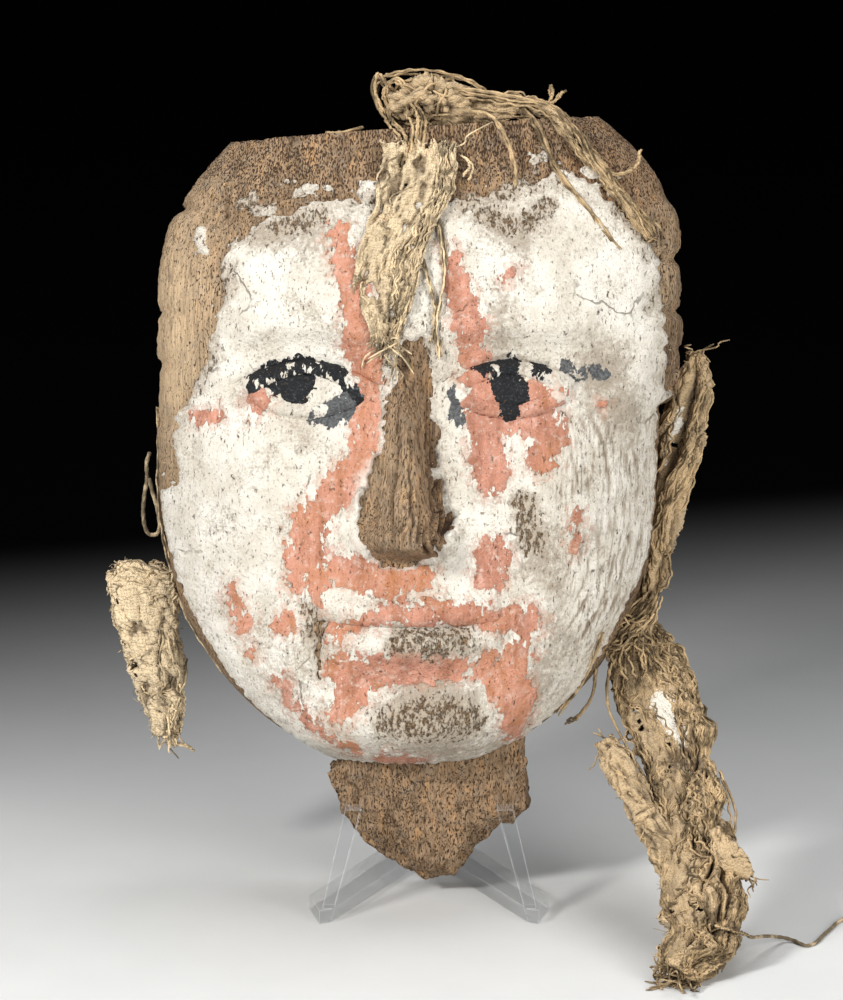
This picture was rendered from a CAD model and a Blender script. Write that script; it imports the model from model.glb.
"""An ancient funerary face mask of carved wood with plaster, paint and torn linen, on a clear easel.

Shape functions work in millimetres and meshes are in metres. On the mask, u runs across the face,
v up from the chin and w out of its flat back. Every surface is a function of two parameters, worked
out as whole arrays on a grid.
"""

import math

import bmesh
import bpy
import numpy as np
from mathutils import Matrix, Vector


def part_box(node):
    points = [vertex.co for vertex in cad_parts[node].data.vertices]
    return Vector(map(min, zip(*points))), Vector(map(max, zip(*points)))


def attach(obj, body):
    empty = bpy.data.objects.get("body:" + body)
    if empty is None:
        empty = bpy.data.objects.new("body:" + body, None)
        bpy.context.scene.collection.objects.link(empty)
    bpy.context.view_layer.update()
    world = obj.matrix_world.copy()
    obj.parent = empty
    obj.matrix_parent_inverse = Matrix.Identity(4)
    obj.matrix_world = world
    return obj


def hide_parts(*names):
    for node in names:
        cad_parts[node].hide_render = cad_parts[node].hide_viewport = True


bl_info = {
    "name": "Funerary Mask",
    "version": (1, 0, 0),
    "blender": (4, 5, 0),
    "location": "View3D > Sidebar > Mask",
    "description": "Builds a carved and painted funerary mask with its linen on a clear easel",
    "category": "Add Mesh",
}

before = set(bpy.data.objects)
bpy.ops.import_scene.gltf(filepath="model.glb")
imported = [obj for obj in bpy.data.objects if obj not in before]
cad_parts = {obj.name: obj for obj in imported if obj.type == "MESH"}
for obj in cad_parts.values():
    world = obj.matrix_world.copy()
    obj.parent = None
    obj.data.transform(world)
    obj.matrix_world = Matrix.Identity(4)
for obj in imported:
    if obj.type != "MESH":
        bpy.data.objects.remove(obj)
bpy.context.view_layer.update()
MM = 0.001

# The mask's outline and proportions, as its solid has them
TILT = math.radians(12)
MASK_HEIGHT = 165.5
FACE_WIDTH = 131
TEMPLE_LIP = 6.3
TEMPLE_LIP_FOOT = 95
TOP_SLOPE = 0.07
LEFT_CORNER = 19.5
RIGHT_CORNER = 22
RIM_THICKNESS = 13
FACE_DEPTH = 43
TOP_SETBACK = 14
BACK_INSET = 2.5
FACE_THIRD = FACE_WIDTH / 0.78 / 3
NOSE_BASE = FACE_THIRD
BROW = 2 * FACE_THIRD
EYE_LINE = 1.75 * FACE_THIRD
MOUTH = 0.67 * FACE_THIRD
EYE_WIDTH = FACE_WIDTH / 5
NOSE_HEIGHT = 16
TENON_LENGTH = 32.5
TENON_WIDTH = 52.5
TENON_AXIS = 5.7
TENON_BACK = 1.5
TENON_THICKNESS = 25
TENON_TIP_SETBACK = 11

_low, _high = (np.array(corner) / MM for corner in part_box("carved_mask"))
ORIGIN = np.array(
    [
        _low[0] + FACE_WIDTH / 2,
        _high[1] - MASK_HEIGHT * math.sin(TILT) - 0.04,
        _low[2] + TENON_LENGTH * math.cos(TILT) - TENON_BACK * math.sin(TILT),
    ]
)
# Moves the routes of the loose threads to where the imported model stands
SHIFT = np.array([2.2145, -16.734, 0.0])

# The loop turns in a round bow at its foot, within a millimetre of the solid's route
LOOP_ROUTE = (
    (-74.3, 57, 112), (-75.2, 56.6, 109), (-75.1, 56, 105), (-75.8, 55.4, 101), (-76.2, 54.9, 97),
    (-76.1, 54.5, 94.3), (-75.75, 54.3, 92), (-74.75, 54.1, 90.15), (-72.8, 53.9, 90.15),
    (-71.85, 53.8, 92), (-71.9, 53.6, 94.4), (-72.5, 53.6, 98), (-73.6, 53.8, 102),
    (-74.4, 54.4, 105.5),
)
FLOOR_ROUTE = (
    (80.2, -31, 8.6), (82, -28.4, 7.4), (85, -22, 5.2), (88, -16.5, 3), (91, -13, 1.3),
    (93.6, -13.4, 0.66), (96.2, -16.4, 0.52), (98.9, -14.4, 0.52), (101.5, -9, 0.52),
    (104, -4, 0.52), (106.2, 0.4, 0.52), (109, 3.5, 0.52), (112, 5, 0.52), (115, 5.5, 0.52),
)


def _length(name, description, default):
    return bpy.props.FloatProperty(
        name=name, description=description, default=default, unit="LENGTH", precision=5
    )


class MaskSizes(bpy.types.PropertyGroup):
    """Sizes of the finish, in metres."""

    coat: _length("Plaster thickness", "Plaster over the wood", 0.0011)
    pit: _length("Pit depth", "Depth of the insect and weather pits", 0.0007)
    yarn: _length("Yarn", "Diameter of one linen yarn", 0.0006)
    weave: bpy.props.FloatProperty(
        name="Weave pitch", description="Distance between neighbouring yarns in the cloth",
        default=0.00085, unit="LENGTH", precision=5,
    )
    edge: _length("Easel edge", "Polished edge of the clear sheet", 0.0005)


def _colour(name, description, default):
    return bpy.props.FloatVectorProperty(
        name=name, description=description, default=default, subtype="COLOR", size=3, min=0, max=1
    )


class MaskColours(bpy.types.PropertyGroup):
    """Linear colours of the finishes."""

    wood: _colour("Wood", "Weathered wood", (0.225, 0.150, 0.088))
    wood_dark: _colour("Wood hollows", "Pits and cracks in the wood", (0.045, 0.024, 0.013))
    plaster: _colour("Plaster", "Clean gesso", (0.82, 0.785, 0.71))
    soil: _colour("Soil", "Dirt on the gesso", (0.235, 0.17, 0.108))
    red: _colour("Red paint", "Salmon flesh paint", (0.545, 0.238, 0.155))
    black: _colour("Black paint", "Charcoal eye paint", (0.017, 0.018, 0.020))
    grey: _colour("Grey paint", "Worn eye paint", (0.125, 0.13, 0.135))
    linen: _colour("Linen", "Aged linen", (0.60, 0.475, 0.305))
    linen_stained: _colour("Stained linen", "Linen with old resin in it", (0.405, 0.295, 0.168))
    linen_dark: _colour("Linen hollows", "Resin-stained hollows", (0.062, 0.032, 0.012))
    floor: _colour("Floor", "Pale studio floor", (0.66, 0.668, 0.668))


# Numbers over whole arrays


def clamp(x, low=0.0, high=1.0):
    return np.clip(x, low, high)


def smooth(low, high, x):
    """0 below low, 1 above high, and 3t^2 - 2t^3 between."""
    t = clamp((x - low) / (high - low))
    return t * t * (3 - 2 * t)


def bell(*shares):
    """exp of minus the sum of squares."""
    return np.exp(-sum(s * s for s in shares))


def noise(u, v, size, seed, w=0.0):
    """Gradient noise, about -1 to 1, on a cubic lattice of that size with one random slope at each
    corner, blended by 6t^5 - 15t^4 + 10t^3."""
    random = np.random.default_rng(seed)
    order = random.permutation(256)
    slopes = random.normal(size=(256, 3))
    slopes /= np.linalg.norm(slopes, axis=1)[:, None]
    u, v, w = np.broadcast_arrays(u, v, w)
    places = np.stack([u, v, w], -1) / size
    cell = np.floor(places).astype(int)
    inside = places - cell
    fade = inside**3 * (inside * (inside * 6 - 15) + 10)
    total = np.zeros(u.shape)
    for corner in np.ndindex(2, 2, 2):
        key = np.zeros(u.shape, int)
        for axis in range(3):
            key = order[(key + cell[..., axis] + corner[axis]) & 255]
        share = np.prod(np.where(np.array(corner), fade, 1 - fade), -1)
        total += share * ((inside - corner) * slopes[key]).sum(-1)
    return 1.7 * total


def rough(u, v, size, seed, octaves=3, w=0.0):
    """Noise at that size and its halves, each half as strong."""
    return sum(noise(u, v, size / 2**k, seed + k, w) / 2**k for k in range(octaves))


def strokes(u, v, *chains):
    """Signed field in mm, above 0 inside: how far each point is within a chain of brush marks, each
    mark given as (u, v, radius) and joined to the next by a tapering stroke."""
    best = np.full(np.shape(u), -99.0)
    for chain in chains:
        for (ax, ay, ar), (bx, by, br) in zip(chain, chain[1:] or chain):
            dx, dy = bx - ax, by - ay
            t = clamp(((u - ax) * dx + (v - ay) * dy) / max(dx * dx + dy * dy, 1e-9))
            away = np.hypot(u - ax - t * dx, v - ay - t * dy)
            best = np.maximum(best, ar + (br - ar) * t - away)
    return best


def within(u, v, outline):
    """Signed distance in mm to a closed outline, above 0 inside: the nearest edge gives the
    distance, and an even or odd count of crossings the sign."""
    near = np.full(np.shape(u), 1e9)
    inside = np.zeros(np.shape(u), bool)
    for (ax, ay), (bx, by) in zip(outline, outline[1:] + outline[:1]):
        dx, dy = bx - ax, by - ay
        t = clamp(((u - ax) * dx + (v - ay) * dy) / (dx * dx + dy * dy))
        near = np.minimum(near, np.hypot(u - ax - t * dx, v - ay - t * dy))
        if ay != by:
            inside ^= ((ay > v) != (by > v)) & (u < (bx - ax) * (v - ay) / (by - ay) + ax)
    return np.where(inside, near, -near)


def smooth_curve(points, t):
    """Uniform Catmull-Rom curve through the points, at shares t of their count, any columns."""
    p = np.asarray(points, float)
    p = np.vstack([2 * p[0] - p[1], p, 2 * p[-1] - p[-2]])
    along = np.asarray(t) * (len(p) - 3)
    k = np.clip(np.floor(along).astype(int), 0, len(p) - 4)
    x = (along - k)[..., None]
    a, b, c, d = p[k], p[k + 1], p[k + 2], p[k + 3]
    return 0.5 * (
        2 * b + (c - a) * x + (2 * a - 5 * b + 4 * c - d) * x**2 + (3 * b - a - 3 * c + d) * x**3
    )


def unit(vectors):
    return vectors / np.maximum(np.linalg.norm(vectors, axis=-1, keepdims=True), 1e-9)


# Meshes


def grid_faces(rows, columns, around=False, start=0):
    """Quads between neighbouring rows and columns; around joins the last column to the first."""
    j, i = np.meshgrid(
        np.arange(rows - 1), np.arange(columns if around else columns - 1), indexing="ij"
    )
    right = (i + 1) % columns
    quads = np.stack(
        [j * columns + i, j * columns + right, (j + 1) * columns + right, (j + 1) * columns + i], -1
    )
    return quads.reshape(-1, 4) + start


def normals_of(grid):
    """Unit normals of a grid of points, from the cross product of its two slopes."""
    return unit(np.cross(np.gradient(grid, axis=1), np.gradient(grid, axis=0)))


def new_object(name, points, faces, material, fields=(), uv=None):
    """A mesh object in metres from points in mm and lists of quads and triangles."""
    faces = [np.asarray(f) for f in (faces if isinstance(faces, list) else [faces])]
    corners = np.concatenate([f.ravel() for f in faces])
    counts = np.concatenate([np.full(len(f), f.shape[1]) for f in faces])
    mesh = bpy.data.meshes.new(name)
    mesh.vertices.add(len(points))
    mesh.vertices.foreach_set("co", (np.asarray(points) * MM).astype(np.float32).ravel())
    mesh.loops.add(len(corners))
    mesh.loops.foreach_set("vertex_index", corners.astype(np.int32))
    mesh.polygons.add(len(counts))
    mesh.polygons.foreach_set("loop_start", (np.cumsum(counts) - counts).astype(np.int32))
    mesh.polygons.foreach_set("use_smooth", np.ones(len(counts), bool))
    for key, values in dict(fields).items():
        layer = mesh.attributes.new(key, "FLOAT", "POINT")
        layer.data.foreach_set("value", np.asarray(values, np.float32).ravel())
    if uv is not None:
        layer = mesh.uv_layers.new(name="Cloth")
        layer.data.foreach_set("uv", np.asarray(uv, np.float32)[corners].ravel())
    mesh.update(calc_edges=True)
    piece = bpy.data.objects.new(name, mesh)
    bpy.context.scene.collection.objects.link(piece)
    mesh.materials.append(material)
    return piece


def new_piece(name, points, faces, material, fields=(), uv=None):
    """A piece of the object, on its one body."""
    piece = new_object(name, points, faces, material, fields, uv)
    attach(piece, "root")
    return piece


def keep_used(faces):
    """Numbers of the points that the faces use, and the faces counted in them."""
    used = np.unique(faces)
    number = np.zeros(used[-1] + 1, int)
    number[used] = np.arange(len(used))
    return used, number[faces]


def tube_mesh(paths, radius, sides=5, ply=0.0, turns=0.0):
    """Closed tubes along paths (tubes, steps, 3): each ring is carried on without twist from the one
    before, its radius swells by ply twice around to show a two-ply twist, and a point closes each
    end. Gives points, faces and UVs of (round, length) in mm."""
    count, steps, _ = paths.shape
    tangent = unit(np.gradient(paths, axis=1))
    side = np.empty_like(paths)
    start = np.cross(tangent[:, 0], [0.31, 0.83, 0.47])
    side[:, 0] = unit(start)
    for k in range(1, steps):
        carried = side[:, k - 1]
        side[:, k] = unit(carried - (carried * tangent[:, k]).sum(-1, keepdims=True) * tangent[:, k])
    over = np.cross(tangent, side)
    angle = np.arange(sides) * 2 * math.pi / sides
    length = np.cumsum(
        np.linalg.norm(np.diff(paths, axis=1, prepend=paths[:, :1]), axis=-1), axis=1
    )
    size = np.broadcast_to(np.asarray(radius, float).reshape(-1, 1), (count, steps)).copy()
    size[:, 0] *= 0.6
    size[:, -1] *= 0.6
    swell = 1 + ply * np.cos(2 * angle[None, None] - turns * length[..., None])
    ring = size[..., None] * swell
    points = (
        paths[:, :, None]
        + ring[..., None] * np.cos(angle)[:, None] * side[:, :, None]
        + ring[..., None] * np.sin(angle)[:, None] * over[:, :, None]
    )
    ends = np.stack([paths[:, 0], paths[:, -1]], 1)
    each = steps * sides
    quads = grid_faces(steps, sides, around=True)
    quads = (quads[None] + (np.arange(count) * each)[:, None, None]).reshape(-1, 4)
    around = np.arange(sides)
    ahead = (around + 1) % sides
    hub = count * each
    first = np.stack([np.zeros(sides, int), ahead, around], -1)
    last = np.stack([np.zeros(sides, int), around, ahead], -1)
    caps = []
    for cap, place, offset in ((first, 0, 0), (last, 1, (steps - 1) * sides)):
        block = np.repeat(cap[None], count, 0)
        block[..., 1:] += (np.arange(count) * each + offset)[:, None, None]
        block[..., 0] = (hub + np.arange(count) * 2 + place)[:, None]
        caps.append(block.reshape(-1, 3))
    uv = np.stack(
        np.broadcast_arrays(
            (angle / (2 * math.pi))[None, None],
            length[..., None],
        ),
        -1,
    ).reshape(-1, 2)
    uv = np.vstack([uv, np.stack([np.zeros((count, 2)), length[:, [0, -1]]], -1).reshape(-1, 2)])
    return np.vstack([points.reshape(-1, 3), ends.reshape(-1, 3)]), [quads, np.vstack(caps)], uv


# The mask's form, with the same proportions as its solid


def on_mask(u, v, w):
    """Row frame place of a point on the mask: its axes turned back by the tilt."""
    u, v, w = np.broadcast_arrays(u, v, w)
    return ORIGIN + np.stack(
        [u, v * math.sin(TILT) - w * math.cos(TILT), v * math.cos(TILT) + w * math.sin(TILT)], -1
    )


def half_width(v, side, ease=2.0):
    """Half the outline's width at a level: a jaw curve, less the cut upper corner, plus the
    temple's lip on the right, which starts within that ease of its foot."""
    reach = FACE_WIDTH * 0.625
    jaw = FACE_WIDTH / 2 * np.sqrt(1 - clamp((reach - 2 - v) / reach) ** 2.3)

    def corner(size, start, power):
        return size * clamp((v - start) / (MASK_HEIGHT - start)) ** power

    lip = TEMPLE_LIP * smooth(TEMPLE_LIP_FOOT - ease, TEMPLE_LIP_FOOT + ease, v)
    left = jaw - corner(LEFT_CORNER, MASK_HEIGHT - 40, 2)
    right = jaw + lip - corner(RIGHT_CORNER, MASK_HEIGHT - 34, 2.3)
    return np.where(side < 0, left, right)


def nose(u, v):
    """A ridge that widens and rises to the tip, with two wings."""
    root, tip = EYE_LINE + 5, NOSE_BASE + 5
    down = clamp((root - v) / (root - tip))
    height = 2.5 + (NOSE_HEIGHT - 2.5) * down**1.15
    section = 0.5 + 0.5 * np.cos(math.pi * clamp(abs(u) / (5.5 + 7.5 * down**1.4)))
    ends = smooth(NOSE_BASE - 2.5, NOSE_BASE + 2.5, v) * (1 - smooth(root - 2, root + 12, v))
    wings = 5 * bell((abs(u) - 9.5) / 4.6, (v - NOSE_BASE - 4.5) / 4.2)
    return (height * section + wings) * ends


def eye(u, v):
    """Socket, ball, almond lids and brow ridge, alike on both sides."""
    x, y = abs(u) - EYE_WIDTH, v - EYE_LINE
    almond = np.hypot(x / (EYE_WIDTH / 2), y / (5.6 - 2.2 * abs(x / EYE_WIDTH)))
    arc = BROW + 3 - 0.006 * x * x
    brow = 2.2 * bell((v - arc) / 3.2) * smooth(5, 12, abs(u)) * (1 - smooth(40, 50, abs(u)))
    socket = -4.5 * bell((x + 2) / 15, (y - 3) / 9)
    crease = -1.1 * bell((almond - 1.42) / 0.16) * smooth(-1, 2, y)
    return 1.15 * socket + 4.4 * bell(x / 9.5, y / 5.6) + 1.9 * bell((almond - 1) / 0.17) + crease + brow


def mouth(u, v):
    """Two lips that part in a calm line, on a muzzle with a groove above and a hollow below."""
    lips = np.sqrt(clamp(1 - (u / (EYE_WIDTH * 0.88)) ** 2))
    line = MOUTH + 0.003 * u * u
    return (
        3.2 * bell((v - line - 3.7) / 3) * lips
        + 3.6 * bell((v - line + 4.5) / 3.5) * lips
        - 2.4 * bell((v - line) / 1.2) * lips
        + 3.4 * bell(u / 24, (v - MOUTH) / 17)
        - 3 * bell(u / 16, (v - MOUTH + 15.5) / 5)
        - 0.9 * bell(u / 2.6, (v - NOSE_BASE + 8) / 5)
    )


def outward(grid):
    """Unit normals of the face's grid, turned out of the board."""
    out = -normals_of(grid)
    return out * np.sign(out[..., 2:3])


def relief(u, v):
    """Height of the face over its flat back: a dome that meets the rim, with the features on it."""
    share = clamp(abs(u) / half_width(v, np.sign(u), 16))
    middle = FACE_DEPTH * (1 - 0.44 * clamp((14 - v) / 14) ** 2)
    middle = middle - TOP_SETBACK * smooth(BROW + 4, MASK_HEIGHT + 3, v)
    dome = RIM_THICKNESS + (middle - RIM_THICKNESS) * (1 - share**2.6) ** 0.62
    cheeks = 3 * bell((abs(u) - 38) / 14, (v - 1.3 * FACE_THIRD) / 16)
    chin = 4 * bell(u / 15, (v - 11) / 8)
    return dome + (nose(u, v) + eye(u, v) + mouth(u, v) + cheeks + chin) * (1 - share**6)


def face_grid(columns, rows):
    """u, level and the grid of (u, v, w) over the face, denser towards the rim."""
    p = np.linspace(-1, 1, columns + 1)
    level = (MASK_HEIGHT * np.linspace(0, 1, rows + 1) ** 1.15)[:, None] * np.ones(columns + 1)
    share = np.broadcast_to(p * (0.75 + 0.25 * p * p), level.shape)
    u = share * half_width(level, share)
    v = level + TOP_SLOPE * u * (level / MASK_HEIGHT) ** 8
    worn_u = u - np.sign(u) * outline_wear(level, np.sign(u)) * smooth(0.8, 1, abs(share))
    return u, level, np.stack([worn_u, v, relief(u, level)], -1)


def outline_wear(v, side):
    """How far the board's edge is worn in, in mm: long waves, small bites and the old notches."""
    waves = 0.6 * rough(v, side * 40.0, 17, 29) + 0.22 * noise(v, side * 40.0, 2.2, 30)
    bites = 0.8 * smooth(0.45, 0.7, noise(v, side * 60.0, 5.6, 33))
    left = 2.2 * bell((v - 146.5) / 1.5) + 1.2 * bell((v - 118) / 1.2) + 0.9 * bell((v - 104) / 2)
    right = 1.6 * bell((v - 131) / 1.3) + 1.8 * bell((v - 118) / 1.5) + 1.2 * bell((v - 146) / 2)
    return (waves + bites + np.where(side < 0, left, right)) * smooth(8, 40, v)


# Where the plaster still holds, as an outline in mm over the face: up the left temple, along the
# ragged upper edge and down the right side
PLASTER_EDGE = [
    (-80, -20), (-80, 60), (-59.7, 74), (-60.7, 85), (-58.7, 93), (-54.7, 101), (-51.2, 109),
    (-47.2, 119), (-49, 129), (-44.2, 137), (-38.2, 141.5), (-31.2, 144), (-20.2, 147.5), (-7.2, 146.5),
    (10.8, 146.5), (18.8, 148), (29.3, 150.5), (39.8, 152.5), (49.8, 148), (60.8, 137.5), (65.5, 129.5),
    (66, 112), (67.5, 98), (80, 90), (80, -20),
]
# Plaster lost inside that edge, as chains of (u, v, radius)
LOST = (
    ((1.2, 107, 4.4), (0.6, 92, 6), (-0.1, 78, 8.4), (-1.1, 65, 12.5)),
    ((-22.7, 38, 0.5), (-22.2, 30, 0.9), (-21.8, 24, 0.4)),
)
# Patches worn thin, where only grains of plaster are left in the wood's pits
WORN = (
    ((-2, 34, 2.2), (6, 33.5, 3), (13, 34.5, 2.4)), ((-6, 13, 3), (7, 14.5, 4.6), (16, 13.5, 3.2)),
    ((30.3, 69, 2.4), (31.2, 60, 3.2)), ((19.8, 142, 2.4), (28.8, 139, 2), (35.8, 144, 1.6)),
    ((-33.2, 140, 2.2), (-23.2, 142, 2)), ((-24.7, 42, 1.6), (-24.2, 36, 1.2)),
)
# Crumbs of plaster left above that edge
CRUMBS = (
    ((-53.7, 139, 1.9), (-53.2, 134.5, 1)), ((-39.2, 146, 1.6), (-35.7, 145.4, 1.9)),
    ((-21.2, 150.5, 0.8),), ((46.3, 152.5, 1.8), (50.8, 150.5, 1.4)), ((-27, 149.6, 1.5), (-24, 150.6, 1)),
    ((-43, 146.5, 1.2), (-40.5, 148.4, 1.6)), ((-31, 151.6, 0.8),), ((33, 155.4, 1.1), (36, 156, 0.7)),
    ((-11.2, 149, 2.4), (-7.2, 150, 2)),
)
RED = (
    ((-18.2, 138, 3), (-14.2, 125, 4), (-11.2, 110, 4.6), (-9.7, 94, 4), (-11.2, 80, 5), (-19.2, 71, 5)),
    ((-24.2, 66, 5.5), (-26.2, 56, 5.5), (-28.2, 48, 3.2)), ((-22.2, 50, 3.4), (-23.2, 44, 2.4)),
    ((-39.2, 92, 2.2), (-37.2, 96, 2.6)), ((-54.2, 90.5, 1.6), (-48.2, 91, 1.8)), ((-31.2, 38, 3.4),),
    ((10.8, 132, 2.4), (14.8, 118, 3.8), (17.3, 104, 4), (19.3, 88, 4.6), (21.3, 76, 5)),
    ((22.8, 92, 6), (30.8, 94, 7), (35.8, 87, 5.5), (33.8, 80, 3.6)),
    ((-15.5, 52, 5), (-4.5, 50, 6), (2.5, 51, 4.4)), ((21.3, 56, 5), (20.8, 49.5, 4)),
    ((-19, 36, 2.4), (-6, 41, 2.8), (10, 41.5, 2.6), (23, 39, 3.4), (29.5, 38.5, 5)),
    ((-16, 26, 5.6), (-2, 27.5, 4.6), (12, 27, 4)), ((-16, 17, 4.4), (-13, 24, 6)),
    ((21, 27, 4.5), (27, 20, 5.4), (27, 10, 3)), ((28, 32, 4), (26, 24, 4)),
    ((-6.2, 3.5, 2), (2.8, 2.6, 2.4)), ((-45.2, 47, 2), (-42.2, 38, 2.6)), ((-40.2, 30, 2),),
    ((-33.2, 24, 1.6), (-26.2, 14, 1.6), (-13.2, 5, 1.4)), ((42.8, 66, 1.6), (42.3, 58, 2)),
    ((49.3, 94, 1.2),), ((39.8, 97, 1),), ((27.8, 128, 1.2), (23.8, 126, 0.7)),
)
BLACK = (
    ((-40, 99, 1.5), (-36, 103, 2.4), (-30, 105.6, 2.6), (-24, 105.2, 2.2), (-17.5, 101.8, 1.9)),
    ((-31.5, 99.5, 3.2), (-28.5, 97.5, 3.9), (-26.5, 101, 3)), ((-17, 101, 1.8), (-13.2, 96.5, 1.7)),
    ((-36.5, 100, 1.8), (-34, 97.5, 1.6)), (
        (26, 105, 3), (24.5, 100.5, 4), (26.6, 96.5, 4.4), (25.4, 92.6, 2.6)
    ),
    ((17.6, 102.4, 1.3), (21.5, 104.6, 1.7)), ((32.4, 103.6, 1.6), (35, 101.8, 1.1)),
)
GREY = (
    ((-23, 90.5, 2.6), (-17, 92, 3.2), (-13.6, 97, 2)), ((-35, 105.4, 1),),
    ((12.5, 90, 2), (11.6, 97, 1.7)), ((40.5, 103.5, 2.3), (42, 101, 2)),
    ((46, 103, 2.2), (51, 101.5, 1.4)),
)
GRIME = (
    ((-43.2, 138, 5), (-29.2, 137, 7), (-17.2, 140, 6)),
    ((18.8, 143, 6), (26.8, 135, 6), (32.8, 141, 4)), ((22.8, 118, 6), (24.8, 106, 5)),
    ((32.8, 60, 8), (36.8, 48, 5)), ((-24.2, 38, 4), (-23.2, 28, 4)), ((6.8, 16, 16),),
    ((48.8, 104, 10), (54.8, 92, 8)), ((37.8, 34, 7), (24.8, 8, 6)), ((-31.2, 22, 5),),
)


def coverage(u, v):
    """Signed field of the plaster in mm: its outline, less the lost patches and a bare rim, with
    crumbs added and its edge roughened."""
    wave_u = u + 1.8 * rough(u, v, 9, 31) + 0.5 * rough(u, v, 2.2, 35)
    wave_v = v + 1.8 * rough(u, v, 9, 37) + 0.5 * rough(u, v, 2.2, 39)
    grains = rough(u, v, 1.9, 41, 2)
    field = within(wave_u, wave_v, PLASTER_EDGE)
    field = np.maximum(field, strokes(wave_u, wave_v, *CRUMBS))
    field = np.maximum(field, 1.5 * grains - 0.75 + 0.16 * np.minimum(field, 0))
    field = np.minimum(field, -strokes(wave_u, wave_v, *LOST) + 0.25 * grains)
    rim = half_width(v, np.sign(u)) - abs(u)
    low = np.where(v < 30, v * 0.9, 99)
    bare = 0.8 + 2.4 * smooth(18, 30, abs(u)) * (1 - smooth(34, 60, v))
    edge = np.minimum(np.minimum(rim, low) - bare, MASK_HEIGHT - v) + 0.5 * grains
    return np.minimum(field, edge) + 0.3 * grains


def thinness(u, v, cover):
    """How thin the plaster is, 0 to 1: the worn patches, and stretches of its broken edge."""
    wave_u = u + 1.2 * rough(u, v, 5, 101)
    worn = smooth(-2.6, 1.6, strokes(wave_u, v, *WORN) + 1.3 * rough(u, v, 3.4, 103))
    patchy = smooth(-0.35, 0.5, rough(u, v, 12, 105)) * smooth(96, 118, v + 0.2 * abs(u))
    edge = 0.9 * (1 - smooth(0.2, 7, cover)) * patchy
    return np.maximum(worn, edge)


def paint(u, v, chains, size, seed, ragged=1.0):
    """Signed field of a painted area, its edge broken by flaking at two sizes."""
    wave_u = u + 1.5 * ragged * rough(u, v, size, seed)
    wave_v = v + 1.5 * ragged * rough(u, v, size, seed + 5)
    return strokes(wave_u, wave_v, *chains) + 1.25 * ragged * rough(u, v, size / 2.5, seed + 9)


# Shader building


def add(tree, kind, values=None, **settings):
    """One shader node. Values are its inputs by name or number: a socket is linked, anything else is
    set."""
    node = tree.nodes.new("ShaderNode" + kind)
    for key, value in settings.items():
        setattr(node, key, value)
    for key, value in (values or {}).items():
        socket = node.inputs[key]
        if isinstance(value, bpy.types.NodeSocket):
            tree.links.new(value, socket)
        else:
            socket.default_value = value
    return node


def calc(tree, operation, *values, capped=False):
    node = add(tree, "Math", dict(enumerate(values)), operation=operation, use_clamp=capped)
    return node.outputs[0]


def times(tree, *values, **settings):
    return calc(tree, "MULTIPLY", *values, **settings)


def plus(tree, *values):
    return calc(tree, "ADD", *values)


def less(tree, *values, **settings):
    return calc(tree, "SUBTRACT", *values, **settings)


def larger(tree, *values):
    return calc(tree, "MAXIMUM", *values)


def span(tree, value, low, high, new_low=0.0, new_high=1.0):
    """A value carried smoothly from one range to another."""
    inputs = {0: value, 1: low, 2: high, 3: new_low, 4: new_high}
    return add(tree, "MapRange", inputs, interpolation_type="SMOOTHSTEP").outputs[0]


def blend(tree, share, first, second):
    """One colour mixed into another."""
    return add(tree, "Mix", {0: share, 6: rgba(first), 7: rgba(second)}, data_type="RGBA").outputs[2]


def rgba(colour):
    return colour if isinstance(colour, bpy.types.NodeSocket) else (*colour[:3], 1.0)


def field_of(tree, name):
    return add(tree, "Attribute", attribute_name=name).outputs["Fac"]


def speckle(tree, place, scale, detail=3.0, roughness=0.55):
    inputs = {"Vector": place, "Scale": scale, "Detail": detail, "Roughness": roughness}
    return add(tree, "TexNoise", inputs).outputs[0]


def object_place(tree):
    return add(tree, "TexCoord").outputs["Object"]


def along_grain(tree, stretch):
    """Object coordinates in the mask's own tilt, drawn out along its height."""
    place = object_place(tree)
    turned = add(tree, "Mapping", {"Vector": place, "Rotation": (TILT, 0, 0)})
    return add(
        tree, "Mapping", {"Vector": turned.outputs[0], "Scale": (1, 1, 1 / stretch)}
    ).outputs[0]


def new_group(name, inputs, outputs):
    group = bpy.data.node_groups.new(name, "ShaderNodeTree")
    for key, default in inputs.items():
        group.interface.new_socket(
            key, in_out="INPUT", socket_type="NodeSocketFloat"
        ).default_value = default
    for key in outputs:
        group.interface.new_socket(key, in_out="OUTPUT", socket_type="NodeSocketFloat")
    start = group.nodes.new("NodeGroupInput")
    end = group.nodes.new("NodeGroupOutput")
    return group, start.outputs, end.inputs


def grain_group():
    """Weathered grain: long streaks, short dark pits and their height, drawn out along the mask."""
    group, given, made = new_group("weathered_grain", {"Pits": 0.6}, ("Streak", "Pit", "Height"))
    long = along_grain(group, 11)
    short = along_grain(group, 2.7)
    streak = speckle(group, long, 1500, 6, 0.66)
    broad = speckle(group, long, 170, 4)
    cells = speckle(group, short, 2700, 3, 0.45)
    pit = span(group, calc(group, "MULTIPLY_ADD", given["Pits"], 0.13, cells), 0.655, 0.70)
    mixed = plus(group, times(group, streak, 0.65), times(group, broad, 0.35))
    height = less(group, times(group, streak, 0.5), pit)
    group.links.new(span(group, mixed, 0.32, 0.68), made["Streak"])
    group.links.new(pit, made["Pit"])
    group.links.new(height, made["Height"])
    return group


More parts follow.
